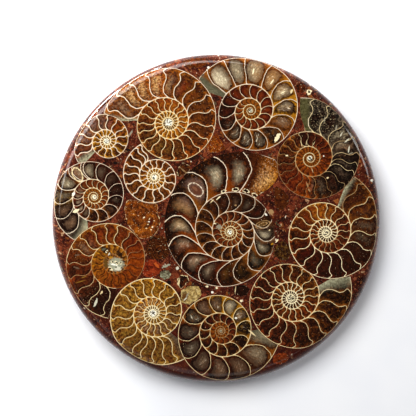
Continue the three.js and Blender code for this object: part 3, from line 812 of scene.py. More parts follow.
def ammonite_mesh(name, materials):
    """The polished pattern on a grid that follows the coil, welded to the body below it."""
    shell = AMMONITES[name]
    centre, opening = shell["centre"], shell["infill"] / 360
    ages = np.arange(0, MOST_WHORLS, 1 / STEPS_PER_WHORL)
    walls = int(np.argmax(wall_radius(shell, opening - ages) < SMALLEST_WHORL))
    wall_turns = opening - np.arange(walls, -1, -1) / STEPS_PER_WHORL
    wall_radii = wall_radius(shell, wall_turns)
    columns = np.arange(STEPS_PER_WHORL, walls + 1)
    across = np.arange(STEPS_ACROSS + 1) / STEPS_ACROSS
    inner, outer = wall_radii[columns - STEPS_PER_WHORL], wall_radii[columns]
    turns = np.broadcast_to(wall_turns[columns][:, None], (len(columns), len(across)))
    near_lip = np.clip((columns - walls + LIP_STEPS) / LIP_STEPS, 0, 1)[:, None]
    angle = coil_angle(shell, turns, shell["lip"] * np.sin(np.pi * across) * near_lip)
    free = on_surface(shell, angle, inner[:, None] + (outer - inner)[:, None] * across)
    cutters = ["ammonite_" + cutter for cutter in shell["cut_by"]]
    grid = around(centre, angle, np.minimum(free, reach(centre, angle, cutters)))
    uncut = around(centre, angle, free)
    pattern = pattern_of(shell, turns, across, uncut, free[:, 0], free[:, -1])

    # The vertices: the wall from its start to the mouth, the rest of the grid, and the centre.
    early = np.arange(STEPS_PER_WHORL)
    early_points = around(centre, coil_angle(shell, wall_turns[early]), wall_radii[early])
    rest = grid[:, 1:-1]
    flat = np.concatenate((early_points, grid[:, -1], rest.reshape(-1, 2), [centre]))
    points = [lifted(flat, face_drop(flat))]
    middle = len(flat) - 1
    index = np.empty(grid.shape[:2], int)
    index[:, 0] = columns - STEPS_PER_WHORL
    index[:, -1] = columns
    index[:, 1:-1] = np.arange(walls + 1, middle).reshape(rest.shape[:2])

    def cells(values):
        """The values at the four corners of each cell of the grid, counter-clockwise."""
        whole = slice(0, -1), slice(1, None)
        cell = [values[whole[a], whole[b]] for a, b in ((0, 0), (0, 1), (1, 1), (1, 0))]
        return np.stack(cell[:: shell["coil"]], 2).reshape(-1, *values.shape[2:])

    faces = cells(index).reshape(-1, 4).tolist()
    # The eye is a fan that closes on the first whorl's start.
    fan = [(middle, i, i + 1) for i in range(STEPS_PER_WHORL - 1)]
    fan.append((middle, STEPS_PER_WHORL - 1, *index[0, ::-1].tolist()))
    faces += [face[:: shell["coil"]] for face in fan]
    fan_corners = sum(len(face) for face in fan)
    corners = {}
    for label, values in pattern.items():
        eye = np.broadcast_to(values[0, 2], (fan_corners, values.shape[-1]))
        corners[label] = np.concatenate((cells(values), eye))
    looks = [POLISHED] * len(faces)

    last_whorl = np.arange(walls - STEPS_PER_WHORL, walls + 1)
    loop = np.concatenate((last_whorl, index[-1, -2:0:-1]))[:: shell["coil"]]
    form = [(depth * shell["wall"][0], scale) for depth, scale in shell["form"]]
    upper, start = loop.tolist(), len(flat)
    for ring in rings_below(flat[loop], centre, form)[1:]:
        points.append(ring)
        lower = list(range(start, start + len(loop)))
        faces += bridge(upper, lower)
        upper, start = lower, start + len(loop)
    bottom = min(PLATE_THICKNESS - form[-1][0], ring[:, 2].min())
    points.append([[*centre, bottom]])
    faces += closed_below(upper, start)
    looks += [ROUGH] * (len(faces) - len(looks))
    obj = finished_mesh(name + "_finish", points, faces, materials, looks, corners)
    return obj, pocket_below(flat[loop], centre, form)


# ---- fragments ----

FRAGMENT_TAPER = 0.75  # scale of a fragment's underside
FRAGMENT_RINGS = 8
OUTLINE_STEPS = 9  # points between two given points of a fragment's outline
OUTLINE_CHIPS = ((0.16, 7), (0.1, 17))  # height and number of the chips around it
FRAGMENTS = {}


def fragment(name, depth, outline, *tones, speck=CREAM, grain=1.2, sparkle=0.6, marks=(), **more):
    """The tones are dark, middle and light; grain is the size of the mottling in mm. more: ribs
    (angle, pitch, strength) and border (width of a thin shell wall all round)."""
    FRAGMENTS["fragment_" + name] = dict(
        depth=depth, outline=outline, tones=tones, speck=speck, grain=grain, sparkle=sparkle,
        marks=marks, **more,
    )


fragment(
    "orange", 5, ((-37.3, 7.8), (-31.4, 6.9), (-25.5, 6.1), (-24.6, 2.2), (-23.8, -2), (-25.5, -6.2),
        (-30.5, -8.8), (-33.9, -6.7), (-36.9, -3.3), (-38.6, 2.2)),
    CHOCOLATE, srgb("#683615"), srgb("#90561a"), grain=3, sparkle=1.2, border=0.1,
    marks=(patch(-27.4, -1.4, MAROON, 1.6, 0.9, 70), patch(-29.4, -3.4, CHESTNUT, 1.4, 0.8, 40),
           patch(-30.6, 0.4, CREAM, 0.5, 0.3, 30), patch(-28.2, -0.2, IVORY, 0.4, 0.2, 60),
           patch(-28.4, -1.4, WHITE, 0.4, 0.25), patch(-26.9, -3.6, CREAM, 0.5, 0.3, 60),
           patch(-29.6, -4.2, IVORY, 0.4, 0.25), patch(-27.5, -4.8, CREAM, 0.3, 0.2),
           patch(-26.2, -1, IVORY, 0.3, 0.2), patch(-28.9, -2.6, IVORY, 0.3, 0.2, 20)),
)
fragment(
    "ribbed", 4, ((-28, -8.8), (-24.2, -7.1), (-20.8, -9.2), (-19.5, -12.6), (-20.4, -16),
        (-23.3, -17.3), (-27.2, -16.8), (-29.7, -14.3), (-29.7, -11.3)),
    UMBER, CHESTNUT, BROWN, ribs=(60, 1.3, 1.2),
)
fragment(
    "red", 4, ((-31, -18.5), (-28, -17.3), (-25, -18.1), (-23.3, -20.2), (-23.3, -22.4), (-25.9, -24.5),
        (-29.3, -24.9), (-31.4, -22.4)),
    MAROON, srgb("#78301a"), srgb("#8c4022"), grain=2.5, sparkle=0.2,
    marks=(patch(-25.2, -19.9, srgb("#b05a28"), 1.5, 0.6, -45),),
)
fragment(
    "black", 3, ((-16.5, -26.2), (-14.8, -24.1), (-12.3, -24.5), (-11.5, -26.2), (-13.2, -28.3),
        (-14.8, -29.6), (-16.1, -28.3)),
    BLACK, UMBER, CHESTNUT, grain=1.6, sparkle=0.5, border=0.2,
    marks=(patch(-15.8, -27.2, IVORY, 1.9, 0.35, 80),),
)
fragment(
    "beige", 4, ((-14.8, -31.3), (-12.3, -29.1), (-8.5, -28.7), (-6.4, -30.4), (-6.8, -33.4),
        (-8.9, -35.1), (-11.5, -36.4), (-14.4, -35.5)),
    srgb("#76643e"), srgb("#9a8658"), srgb("#b8a87a"), speck=SMOKE, grain=1.5,
    marks=(patch(-13.2, -33.4, BROWN, 1.6, 1.3, 70), patch(-12.2, -32.6, GREY, 1.5, 0.3, 60),
           patch(-13, -34.2, SILVER, 0.9, 0.25, 40)),
)
fragment(
    "dark", 3, ((7.6, -29.1), (10.6, -28.3), (13.6, -29.1), (13.6, -31.7), (11, -33), (8.1, -32.1)),
    BLACK, UMBER, CHOCOLATE, grain=1,
    marks=(patch(8.2, -30.4, IVORY, 1.3, 0.2, 85),),
)
fragment(
    "septate", 3, ((-14, 23.5), (-11, 21.8), (-11.9, 19.6), (-14.8, 17.9), (-16.5, 18.4), (-16.1, 20.9)),
    UMBER, CHOCOLATE, BROWN, grain=1.2, border=0.1,
    marks=(patch(-14.6, 21, TAN, 1.6, 0.15, -50), patch(-13.2, 19.9, TAN, 1.5, 0.15, -50)),
)
fragment(
    "textured", 4, ((0, 35.8), (2.1, 33.2), (3.8, 29.8), (1.7, 28.1), (-2.1, 28.1), (-4.2, 30.2),
        (-2.5, 33.2)),
    CHESTNUT, RUST, AMBER, grain=1.4, sparkle=1.4, ribs=(55, 1.6, 0.3),
)
fragment(
    "rim_dark", 3, ((34.4, 57), (36.5, 57.8), (38.2, 56.1), (37.3, 53.6), (34.8, 53.6), (33.9, 55.3)),
    UMBER, CHOCOLATE, RUST, sparkle=1.2,
)
fragment(
    "brown_rib", 4, ((25.5, 13.3), (28.8, 11.6), (31, 8.2), (29.3, 4.4), (25.9, 3.9), (24.6, 8.6)),
    CHOCOLATE, CHESTNUT, BROWN, grain=1.5, sparkle=0.3, ribs=(100, 2, 0.5),
)
fragment(
    "olive", 3, ((25.5, -11.8), (28.4, -9.6), (31, -11.8), (31.8, -15.1), (29.3, -17.7), (25.9, -16.8),
        (24.6, -14.3)),
    UMBER, CHOCOLATE, OLIVE, sparkle=1, ribs=(170, 2, 0.5),
)
fragment(
    "rim_brown", 3, ((-13.6, 66.7), (-9.3, 68), (-4.7, 67.6), (-4.2, 65), (-8.9, 63.8), (-12.7, 64.6)),
    CHESTNUT, BROWN, RUST, grain=1.5, sparkle=1,
)
fragment(
    "rust", 3, ((24.2, -58.8), (27.2, -57.1), (30.5, -57.6), (30.5, -60.1), (27.6, -61.8),
        (24.6, -61.4)),
    CHESTNUT, RUST, srgb("#8a4626"), grain=2,
)
fragment(
    "green", 2.5, ((-23.8, -23.2), (-21.6, -21.9), (-19.5, -22.8), (-19.5, -24.9), (-22.5, -25.8)),
    SMOKE, MOSS, SEDIMENT, grain=1, sparkle=1,
)

# Small shells and chips in the stone.
STONE_MARKS = (
    patch(-11.9, 65.7, WHITE, 1.7, 0.4, 20), patch(-3.2, 64, WHITE, 0.5),
    patch(-1.6, -31.3, WHITE, 0.5), patch(-3.8, -28.9, CREAM, 0.6, 0.4),
    patch(0.3, -29.5, CREAM, 0.5), patch(-16.4, -21.1, SILVER, 0.7),
    patch(-19.9, -27, BLACK, 0.8), patch(-18.5, -8.4, CREAM, 0.6, 0.4, 40),
    patch(-21.2, -9.4, GOLD, 1.8, 0.5, 30), patch(10.6, -35, CREAM, 0.5),
    patch(-21.2, -20.2, SEDIMENT, 1.7, 0.5, 25), patch(23.3, 2.7, TAN, 1.1),
    patch(28.4, -0.3, UMBER, 0.9), patch(39.5, 53.6, CREAM, 1.1), patch(39.5, 53.6, BLACK, 0.6),
    patch(-37.3, 29, BLACK, 0.9, 0.6), patch(-42.8, 23.5, BLACK, 0.9, 0.6),
    patch(-36.1, 36.2, GREY, 1.4, 0.4, 60), patch(-9.8, 25.8, UMBER, 3, 1, 5),
    patch(25.9, -9.5, CREAM, 0.9, 0.3, 50), patch(66.1, 16.1, WHITE, 0.6),
)


def fragment_mesh(name, materials):
    piece = FRAGMENTS[name]
    b = np.array(piece["outline"], float)
    a, c, d = np.roll(b, 1, axis=0), np.roll(b, -1, axis=0), np.roll(b, -2, axis=0)
    shares = np.arange(OUTLINE_STEPS) / OUTLINE_STEPS
    curve = np.stack([smooth_between(a, b, c, d, share) for share in shares], axis=1)
    outline = counter_clockwise(curve.reshape(-1, 2))
    centre = outline.mean(axis=0)
    offset = outline - centre
    angle, radius = np.arctan2(offset[:, 1], offset[:, 0]), np.hypot(*offset.T)
    (large, few), (small, many) = OUTLINE_CHIPS
    radius = radius + large * np.sin(few * angle + len(name)) + small * np.sin(many * angle)
    radius = np.minimum(radius, reach(centre, angle, OUTLINES))

    # Rings that shrink to the centre. rim is each vertex's distance from the outline.
    count = len(angle)
    shares = np.arange(FRAGMENT_RINGS, 0, -1) / FRAGMENT_RINGS
    flat = [around(centre, angle, radius * share) for share in shares]
    flat = np.concatenate([*flat, [centre]])
    points = [lifted(flat, face_drop(flat))]
    middle = len(flat) - 1
    inset = np.append(np.outer(1 - shares, radius), radius.mean())
    faces = []
    for ring in range(FRAGMENT_RINGS):
        for i in range(count):
            j = (i + 1) % count
            outer = ring * count + i, ring * count + j
            inner = (middle,) if ring == FRAGMENT_RINGS - 1 else (outer[1] + count, outer[0] + count)
            faces.append(outer + inner)
    rim = inset[np.concatenate(faces)]
    looks = [POLISHED] * len(faces)
    form = ((0, 1), (piece["depth"], FRAGMENT_TAPER))
    below = rings_below(flat[:count], centre, form)[1]
    points += [below, [[*centre, below[:, 2].min()]]]
    lower = list(range(middle + 1, middle + 1 + count))
    faces += bridge(list(range(count)), lower) + closed_below(lower, middle + 1 + count)
    looks += [ROUGH] * (len(faces) - len(looks))
    corners = {"rim": np.column_stack((rim, rim, rim))}
    obj = finished_mesh(name + "_finish", points, faces, materials, looks, corners)
    return obj, pocket_below(flat[:count], centre, form)


# ---- the stone ----


def inside(points, outline):
    """Which points lie inside a closed outline."""
    x, y = points[:, :1], points[:, 1:2]
    x0, y0 = outline.T
    x1, y1 = np.roll(outline, -1, axis=0).T
    crosses = (y0 > y) != (y1 > y)
    height = np.where(y1 == y0, 1.0, y1 - y0)
    left_of = x < (x1 - x0) * (y - y0) / height + x0
    return (crosses & left_of).sum(axis=1) % 2 == 1


def circle(radius, steps, turn=0.0):
    angle = (np.arange(steps) + turn) * 2 * math.pi / steps
    return np.column_stack((radius * np.cos(angle), radius * np.sin(angle)))


def stone_face(tops):
    """The polished face and shoulder in plan, as triangles around the outlines of the pockets.

    It gives the points, the triangles and where each point of the edge and the outlines is."""
    flat_radius = PLATE_RADIUS - SHOULDER
    free = []
    for step in range(SHOULDER_STEPS):
        radius = flat_radius + SHOULDER * math.sin(math.pi / 2 * step / SHOULDER_STEPS)
        free.append(circle(radius, EDGE_STEPS, turn=0.5 * (step % 2)))
    rows = int(flat_radius / FACE_SPACING)
    for row in range(1, rows):
        free.append(circle(flat_radius * row / rows, 6 * row, turn=0.5 * (row % 2)))
    free = np.concatenate(free)
    for top in tops:
        free = free[~inside(free, grown(top, FREE_MARGIN))]

    plan = np.concatenate([circle(PLATE_RADIUS, EDGE_STEPS), *tops, free])
    joins = []
    start = EDGE_STEPS
    for top in tops:
        joins += [(start + i, start + (i + 1) % len(top)) for i in range(len(top))]
        start += len(top)
    corners = [Vector(p) for p in plan.tolist()]
    made, _, triangles, origin, _, _ = delaunay_2d_cdt(corners, joins, [], 0, CLOSEST_IN_PLAN)
    made = np.array([tuple(p) for p in made])
    new_index = np.zeros(len(plan), int)
    for new, old in enumerate(origin):
        new_index[old] = new
    triangles = np.array(triangles)
    middles = made[triangles].mean(axis=1)
    kept = np.ones(len(triangles), bool)
    for top in tops:
        kept &= ~inside(middles, top)
    triangles = triangles[kept]
    a, b, c = (made[triangles[:, k]] for k in range(3))
    turned = np.cross(b - a, c - a) < 0
    triangles[turned] = triangles[turned][:, ::-1]
    return made, triangles.tolist(), new_index.tolist()


def matrix_mesh(name, pockets, materials):
    """The stone around the fossils: polished face and shoulder, edge, back and pockets."""
    made, faces, new_index = stone_face([rings[0][:, :2] for rings in pockets])
    looks = [POLISHED] * len(faces)
    points = [lifted(made, face_drop(made))]
    count = len(made)

    def loop_below(upper, ring, way):
        """Adds a loop of points and joins it to the loop above, facing out (1) or in (-1)."""
        nonlocal count
        lower = list(range(count, count + len(ring)))
        points.append(ring)
        count += len(ring)
        faces.extend(quad[::way] for quad in bridge(upper, lower))
        return lower

    start = EDGE_STEPS
    for rings in pockets:
        size = len(rings[0])
        upper = new_index[start : start + size]
        start += size
        for ring in rings[1:]:
            upper = loop_below(upper, ring, -1)
        floor = rings[-1]
        points.append([[*floor[:, :2].mean(axis=0), floor[:, 2].min()]])
        faces.extend((upper[i], upper[(i + 1) % size], count) for i in range(size))
        count += 1
    looks += [ROUGH] * (len(faces) - len(looks))

    edge = circle(PLATE_RADIUS, EDGE_STEPS)
    upper = loop_below(new_index[:EDGE_STEPS], lifted(edge, PLATE_THICKNESS - BACK_CHAMFER), 1)
    looks += [POLISHED] * (len(faces) - len(looks))
    back = circle(PLATE_RADIUS - BACK_CHAMFER, EDGE_STEPS)
    upper = loop_below(upper, lifted(back, PLATE_THICKNESS), 1)
    faces.append(upper[::-1])
    looks += [ROUGH] * (len(faces) - len(looks))
    return finished_mesh(name, points, faces, materials, looks)


# ---- materials ----

POLISH = {"Roughness": 0.6, "Specular IOR Level": 0, "Coat Weight": 1, "Coat Roughness": 0.1}
STONE_SHEEN = {"Sheen Weight": 0.25, "Sheen Roughness": 0.4}
SAWN = {"Roughness": 0.75, "IOR": 1.5}
POLISH_ROLL = 12  # width over which the polished face falls away
POLISH_DROP = 0.9  # and how far it falls
WAVES = (9, 0.05)  # length and height of the faint waves that hand polishing leaves
PALE, BRIGHT = 1.3, 1.4  # how much brighter a vein is than the rind, and the gold in it


class Signal:
    """What a node gives out. It can be added, subtracted and multiplied like a number."""

    def __init__(self, surface, socket):
        self.surface = surface
        self.socket = socket

    def __add__(self, other):
        return self.surface.math("ADD", self, other)

    def __sub__(self, other):
        return self.surface.math("SUBTRACT", self, other)

    def __rsub__(self, other):
        return self.surface.math("SUBTRACT", other, self)

    def __mul__(self, other):
        return self.surface.math("MULTIPLY", self, other)

    __radd__, __rmul__ = __add__, __mul__


class Surface:
    """A material whose nodes are written as plain steps. All lengths in it are millimetres."""

    def __init__(self, name, constants):
        self.material = bpy.data.materials.new(name)
        self.material.use_nodes = True
        self.tree = self.material.node_tree
        self.shader = next(n for n in self.tree.nodes if n.type == "BSDF_PRINCIPLED")
        for socket, value in constants.items():
            self.shader.inputs[socket].default_value = value
        self.place = self.brighten(self.add("TexCoord", output="Object"), 1 / MM)
        self.x, self.y, _ = self.parts(self.place)

    def node(self, kind, inputs=None, **settings):
        node = self.tree.nodes.new("ShaderNode" + kind)
        for key, value in settings.items():
            setattr(node, key, value)
        for key, value in (inputs or {}).items():
            socket = node.inputs[key]
            if isinstance(value, Signal):
                self.tree.links.new(value.socket, socket)
            elif socket.type == "RGBA":
                socket.default_value = (*value[:3], 1)
            else:
                socket.default_value = value
        return node

    def add(self, kind, inputs=None, output=0, **settings):
        return Signal(self, self.node(kind, inputs, **settings).outputs[output])

    def math(self, operation, *values, clamp=False):
        return self.add("Math", dict(enumerate(values)), operation=operation, use_clamp=clamp)

    def smaller(self, a, b):
        return self.math("MINIMUM", a, b)

    def mix(self, factor, a, b, blend="MIX"):
        return self.add("Mix", {0: factor, 6: a, 7: b}, 2, data_type="RGBA", blend_type=blend)

    def step(self, value, low, high, start=0, end=1):
        """Smooth change from start to end while value goes from low to high."""
        inputs = {0: value, 1: low, 2: high, 3: start, 4: end}
        return self.add("MapRange", inputs, interpolation_type="SMOOTHSTEP")

    def parts(self, vector):
        node = self.node("SeparateXYZ", {0: vector})
        return [Signal(self, socket) for socket in node.outputs]

    def stored(self, name):
        """The three numbers that a mesh keeps under a name."""
        return self.parts(self.add("Attribute", output="Vector", attribute_name=name))

    def stored_colour(self, name):
        return self.add("Attribute", output="Color", attribute_name=name)

    def noise(self, size, detail=2, roughness=0.5, place=None, distortion=0, output="Fac"):
        """Noise from about 0.2 to 0.8 whose features are about size wide."""
        inputs = {"Vector": place or self.place, "Scale": 1 / size, "Detail": detail,
                  "Roughness": roughness, "Distortion": distortion}
        return self.add("TexNoise", inputs, output)

    def moved(self, offset):
        return self.add("VectorMath", {0: self.place, 1: offset}, operation="ADD")

    def ramp(self, factor, stops, smooth=True):
        node = self.node("ValToRGB", {0: factor})
        node.color_ramp.interpolation = "EASE" if smooth else "CONSTANT"
        elements = node.color_ramp.elements
        while len(elements) < len(stops):
            elements.new(0.5)
        for element, (at, colour) in zip(elements, stops):
            element.position = at
            element.color = (*colour[:3], 1)
        return Signal(self, node.outputs[0])

    def brighten(self, colour, gain):
        """A colour or a vector times a plain number."""
        return self.add("VectorMath", {0: colour, 3: gain}, operation="SCALE")

    def marked(self, colour, marks):
        """Paints the patches and rings that have their own place on the face."""
        if not marks:
            return colour
        face = self.add("CombineXYZ", {0: self.x, 1: self.y})
        ragged = self.noise(0.8, detail=3) - 0.5
        for x, y, paint, long, wide, turn, line in marks:
            inputs = {"Vector": face, "Location": (x, y, 0), "Scale": (long, wide, 1),
                      "Rotation": (0, 0, math.radians(turn))}
            local = self.add("Mapping", inputs, vector_type="TEXTURE")
            out = self.add("VectorMath", {0: local}, "Value", operation="LENGTH")
            edge = (out - 1) * min(long, wide)
            if line:
                edge = self.math("ABSOLUTE", edge) - line / 2
                rough, blur = 0.9, 0.1
            else:
                rough, blur = min(2.8, 1.8 * wide), 0.1 + 0.25 * max(0, wide - 0.8)
            edge += ragged * rough
            colour = self.mix(self.step(edge, blur, -blur, 0, 0.9), colour, paint)
        return colour

    def finish(self, colour, height=None):
        """height is how far the surface stands out, in mm."""
        self.tree.links.new(colour.socket, self.shader.inputs["Base Color"])
        if height is not None:
            bump = self.add("Bump", {"Height": height, "Distance": MM})
            self.tree.links.new(bump.socket, self.shader.inputs["Normal"])
        return self.material

    def polished(self, colour):
        """Hand polishing leaves a faintly wavy face that falls away towards the edge."""
        radius = self.math("SQRT", self.x * self.x + self.y * self.y)
        beyond = self.math("MAXIMUM", radius + (POLISH_ROLL - PLATE_RADIUS), 0)
        fall = beyond * beyond * (-POLISH_DROP / POLISH_ROLL**2)
        length, height = WAVES
        return self.finish(colour, self.noise(length) * height + fall)


# Mottling: what the darkest and the lightest blotches do to a colour.
DARK_BLOTCH, LIGHT_BLOTCH = (0.38, 0.3, 0.26), (1.85, 1.75, 1.55)
BLOTCH_SIZE, STREAK_SIZE, CRYSTAL_SIZE = 1, 1.3, 0.55
BLOTCH_CONTRAST, BLOTCH_LEVEL = 3, 0.44
VEINS = (0.5, 0.66)  # levels of the streaks' noise between which a vein sets in
GLINTS = (0.71, 0.76)  # levels of the crystals' noise between which a painted glint sets in: a pale speck standing for a highlight
SPARKLE_GAIN = 0.035  # how far one unit of sparkle raises that noise


def chipped(s, colour, pale, vein, mottle, sparkle, seed):
    """Crystal-filled shell: dark, light and coloured blotches, and pale crystal specks painted as
    glints: partly the crystals' own colour, partly painted highlights.
    """
    place = s.moved((seed, -seed, 0))
    blotch = s.noise(BLOTCH_SIZE, detail=5, roughness=0.75, place=place, distortion=0.5) - 0.5
    tone = s.math("ADD", blotch * mottle * BLOTCH_CONTRAST, BLOTCH_LEVEL, clamp=True)
    darker = s.mix(1, colour, DARK_BLOTCH, blend="MULTIPLY")
    lighter = s.add("VectorMath", {0: colour, 1: LIGHT_BLOTCH}, operation="MULTIPLY")
    colour = s.mix(tone, darker, lighter)
    streak = s.noise(STREAK_SIZE, detail=4, roughness=0.7, place=s.moved((-seed, seed, 3)))
    colour = s.mix(s.step(streak, *VEINS) * s.smaller(mottle, 1) * 0.5, colour, vein)
    # Painted highlights: pale specks where crystals glint, partly the crystals' own colour.
    crystal = s.noise(CRYSTAL_SIZE, place=place) + sparkle * SPARKLE_GAIN
    return s.mix(s.step(crystal, *GLINTS, 0, 0.75), colour, pale)


# How a shell is painted: lengths in mm, the rest as shares of a chamber or of a whorl's height.
SEPTUM_DRIFT = 0.1
LINE_WOBBLE = 0.28
LINE_FADE = (-0.1, 0.09)  # across the edge of a line
INNER_ROUNDING, OUTER_ROUNDING = 0.9, 0.3  # of the corners between a septum and the walls
CLOUD_SIZE, CLOUD_GAIN = 1.7, 4  # the clouds on the border of a filling
WARM_SIDE, WARM_FADE, WARM_DEPTH = 1.75, (0.75, 1.4), (0.75, 0.1)  # the rind's colour inside
DARK_SIDE = (0.45, 0.85)  # across the whorl, where the shade by the outer wall sets in
CRISP_BORDER = 0.12  # of a crisp core
WEAKEST_CORE = 0.75
GOLD_WIDTH, GOLD_CORNER = (1.3, 0.1), (2.2, 0.4)  # gold beside an older septum, by the walls
SHADOW_WIDTH, SHADOW = (1, 0.1), 0.35  # a dark seam along the newer septum
SILK_FIBRE, SILK_LENGTH = 0.55, 2  # the fibres of a domed filling
AGATE_RINGS = 24
EYE_FADE = 0.1


def shell_surface(name, seed):
    """Halved shell: calcite-filled chambers between the lines of the walls and septa."""
    shell = AMMONITES[name]
    s = Surface(name + "_polish", POLISH)
    shade, across, phase = s.stored("coil")
    height, spacing, radius = s.stored("size")
    septum, inner_line, outer_line = s.stored("widths")
    rind_end, core_start, core_full = s.stored("fill")
    mottle, shine, sparkle = s.stored("grain")
    core, ring, rind, line_colour = map(s.stored_colour, PAINTS)

    drift = s.noise(2.2) - 0.5
    fine = s.noise(0.7, detail=3) - 0.5
    phase += drift * SEPTUM_DRIFT
    share = s.math("FRACT", phase)
    older, newer = share * spacing, (1 - share) * spacing  # mm to the two septa of the chamber
    inwards, outwards = across * height, (1 - across) * height
    uneven = fine * LINE_WOBBLE
    to_septum = s.smaller(older, newer) + uneven - septum
    to_inner = inwards + uneven - inner_line
    to_outer = outwards + uneven - outer_line
    corner = s.math("SMOOTH_MIN", to_septum, to_inner, INNER_ROUNDING)
    line = s.step(s.math("SMOOTH_MIN", corner, to_outer, OUTER_ROUNDING), *LINE_FADE, 1, 0)

    # depth is 0 on the border of a chamber's rounded filling, 1 in its middle and below 0 in its
    # corners.
    power = shell["corners"]
    outness = 0
    for place, nearness in zip((share, across), shell["nearness"]):
        beside = s.math("ABSOLUTE", s.math("POWER", place, nearness) * 2 - 1)
        outness += s.math("POWER", beside, power)
    depth = 1 - s.math("POWER", outness, 1 / power)
    cloud = s.noise(CLOUD_SIZE, detail=5, roughness=0.65, distortion=0.6) - 0.5
    depth += cloud * CLOUD_GAIN * mottle * shell["ragged"]

    inputs = {"W": s.math("FLOOR", phase) + seed}
    chance = s.parts(s.add("TexWhiteNoise", inputs, "Color", noise_dimensions="1D"))[0]
    soft, crisp = shell["soft"], shell["crisp"]
    warm_side = WARM_SIDE - share - across + drift * 1.6
    warm = s.step(warm_side, *WARM_FADE) * s.step(depth, *WARM_DEPTH) * shell["glow"]
    edged = s.step(depth, rind_end + soft, rind_end - soft)
    shaded = 1 - s.step(across, *DARK_SIDE) * shade
    filling = s.mix(s.math("MAXIMUM", edged, warm) * shaded, ring, rind)
    cored = s.step(depth, core_start, core_full) * (1 - crisp)
    cored += s.step(depth, core_start, core_start + CRISP_BORDER) * crisp
    cored *= WEAKEST_CORE + chance * (1 - WEAKEST_CORE)
    filling = s.mix(cored, filling, core)
    gold = s.step(older + fine, *GOLD_WIDTH) * shaded
    gold *= s.step(s.smaller(inwards, outwards), *GOLD_CORNER)
    filling = s.mix(gold * 0.6, filling, s.brighten(rind, BRIGHT))
    if shell["form"] is DOME:
        strand = {0: older * (1 / SILK_FIBRE), 1: inwards * (1 / SILK_LENGTH), 2: chance * 40}
        strand = s.add("CombineXYZ", strand)
        silk = s.noise(1, detail=4, roughness=0.62, place=strand) - 0.5
        agate = s.math("SINE", depth * AGATE_RINGS + drift * 9)
        filling = s.brighten(filling, 0.85 + cored * (0.35 + silk * 1.8) + agate * 0.1)
        # Painted highlight: a white heart over the middle of a domed core, partly the core's own silvery
        # colour.
        heart = s.step(depth, core_full * 0.3, core_full + 0.1) * s.step(silk, 0.02, 0.2) * shine
        filling = s.mix(s.smaller(heart, 0.8), filling, WHITE)
    seam = s.step(newer + fine * 0.5, *SHADOW_WIDTH, 0, 0.75)
    filling = s.mix(seam, filling, s.brighten(ring, SHADOW))
    # pale is the colour of the specks painted as glints of crystals, partly painted highlights.
    pale, vein = s.mix(0.3, line_colour, rind), s.brighten(rind, PALE)
    filling = chipped(s, filling, pale, vein, mottle * shell["blotches"], sparkle, seed)
    colour = s.mix(line, filling, s.brighten(line_colour, 1 + fine * 0.9))

    eye, eye_colour, pupil = shell["eye"]
    eye_tones = ((0.38, UMBER), (0.46, GREY), (0.54, eye_colour))
    crystals = s.ramp(s.noise(CRYSTAL_SIZE), eye_tones)
    for size, wobble, paint in ((eye, 1.4, crystals), (pupil, 0.6, UMBER)):
        disc = s.step(radius + fine * wobble, size + EYE_FADE, size - EYE_FADE)
        colour = s.mix(disc, colour, paint)
    return s.polished(s.marked(colour, shell["marks"]))


FRAGMENT_LEVELS = (0.36, 0.5, 0.62)  # of the noise, for the dark, middle and light tone
FRAGMENT_MOTTLE = 1.1
BORDER_WOBBLE = 1.8
RIB_BEND = 9  # how far the ribs of a fragment wander


def fragment_surface(name, seed):
    piece = FRAGMENTS[name]
    s = Surface(name + "_polish", POLISH)
    place = s.moved((seed * 7, seed * 3, 0))
    mottle = s.noise(piece["grain"], detail=5, roughness=0.66, place=place, distortion=0.5)
    dark, _, light = piece["tones"]
    colour = s.ramp(mottle, tuple(zip(FRAGMENT_LEVELS, piece["tones"])))
    if "ribs" in piece:
        angle, pitch, strength = piece["ribs"]
        x, y, _ = s.parts(place)
        turn = math.radians(angle)
        bent = s.noise(4, detail=3, place=place)
        along = x * math.cos(turn) + y * math.sin(turn) + bent * RIB_BEND + mottle
        wave = s.math("SINE", along * (2 * math.pi / pitch))
        colour = s.mix(s.step(wave, -0.1, -0.9, 0, strength), colour, dark)
        broken = s.step(s.noise(1.3, place=place), 0.4, 0.55)
        colour = s.mix(s.step(wave, 0.6, 0.95, 0, strength) * broken, colour, light)
    speck, sparkle = piece["speck"], piece["sparkle"]
    # chipped adds specks of the speck colour where crystals glint: partly the fragment's own specks,
    # partly painted highlights.
    colour = chipped(s, colour, speck, light, FRAGMENT_MOTTLE, sparkle, seed)
    if "border" in piece:
        border = piece["border"]
        uneven = s.noise(1.2, detail=3, place=place) - 0.42
        rim = s.stored("rim")[0] + uneven * BORDER_WOBBLE
        colour = s.mix(s.step(rim, border, border + 0.2, 0.8, 0), colour, IVORY)
    return s.polished(s.marked(colour, piece["marks"]))


SILT_TONES = ((0.36, srgb("#2a0f09")), (0.5, srgb("#4b1e10")), (0.64, srgb("#763a22")))
GRAIN_TONES = (
    (0, srgb("#2a100b")), (0.2, srgb("#82402a")), (0.34, srgb("#431810")),
    (0.48, srgb("#8e5438")), (0.58, srgb("#6c2c1c")), (0.68, srgb("#1c110d")),
    (0.76, srgb("#7a4418")), (0.84, srgb("#54503c")), (0.89, srgb("#9a6030")),
    (0.95, srgb("#b08c6a")), (0.985, srgb("#e4d6bc")),
)
# Three sorts of grain: the size of the cells that they lie in, their smallest and largest
# radius in cells, and the share of the cells that hold one.
GRAINS = ((2.2, 0.2, 0.5, 0.3), (1.3, 0.2, 0.6, 0.5), (0.75, 0.25, 0.6, 0.6))
WARP_SIZE, WARP = 1 / 0.7, (3, 3, 3)  # what bends the grains out of round
GRAIN_FADE = 0.08
LIGHT_GRIT, DARK_GRIT = srgb("#cc9c78"), srgb("#200d09")
PAINTED_SHADE_LOW = srgb("#3e130d")  # painted shade: the stone is darker along its lower side, away from the light
PAINTED_SHADE_FADE = (-20, -56)  # height on the plate over which the painted shade darkens it
DUST = srgb("#a8806c")


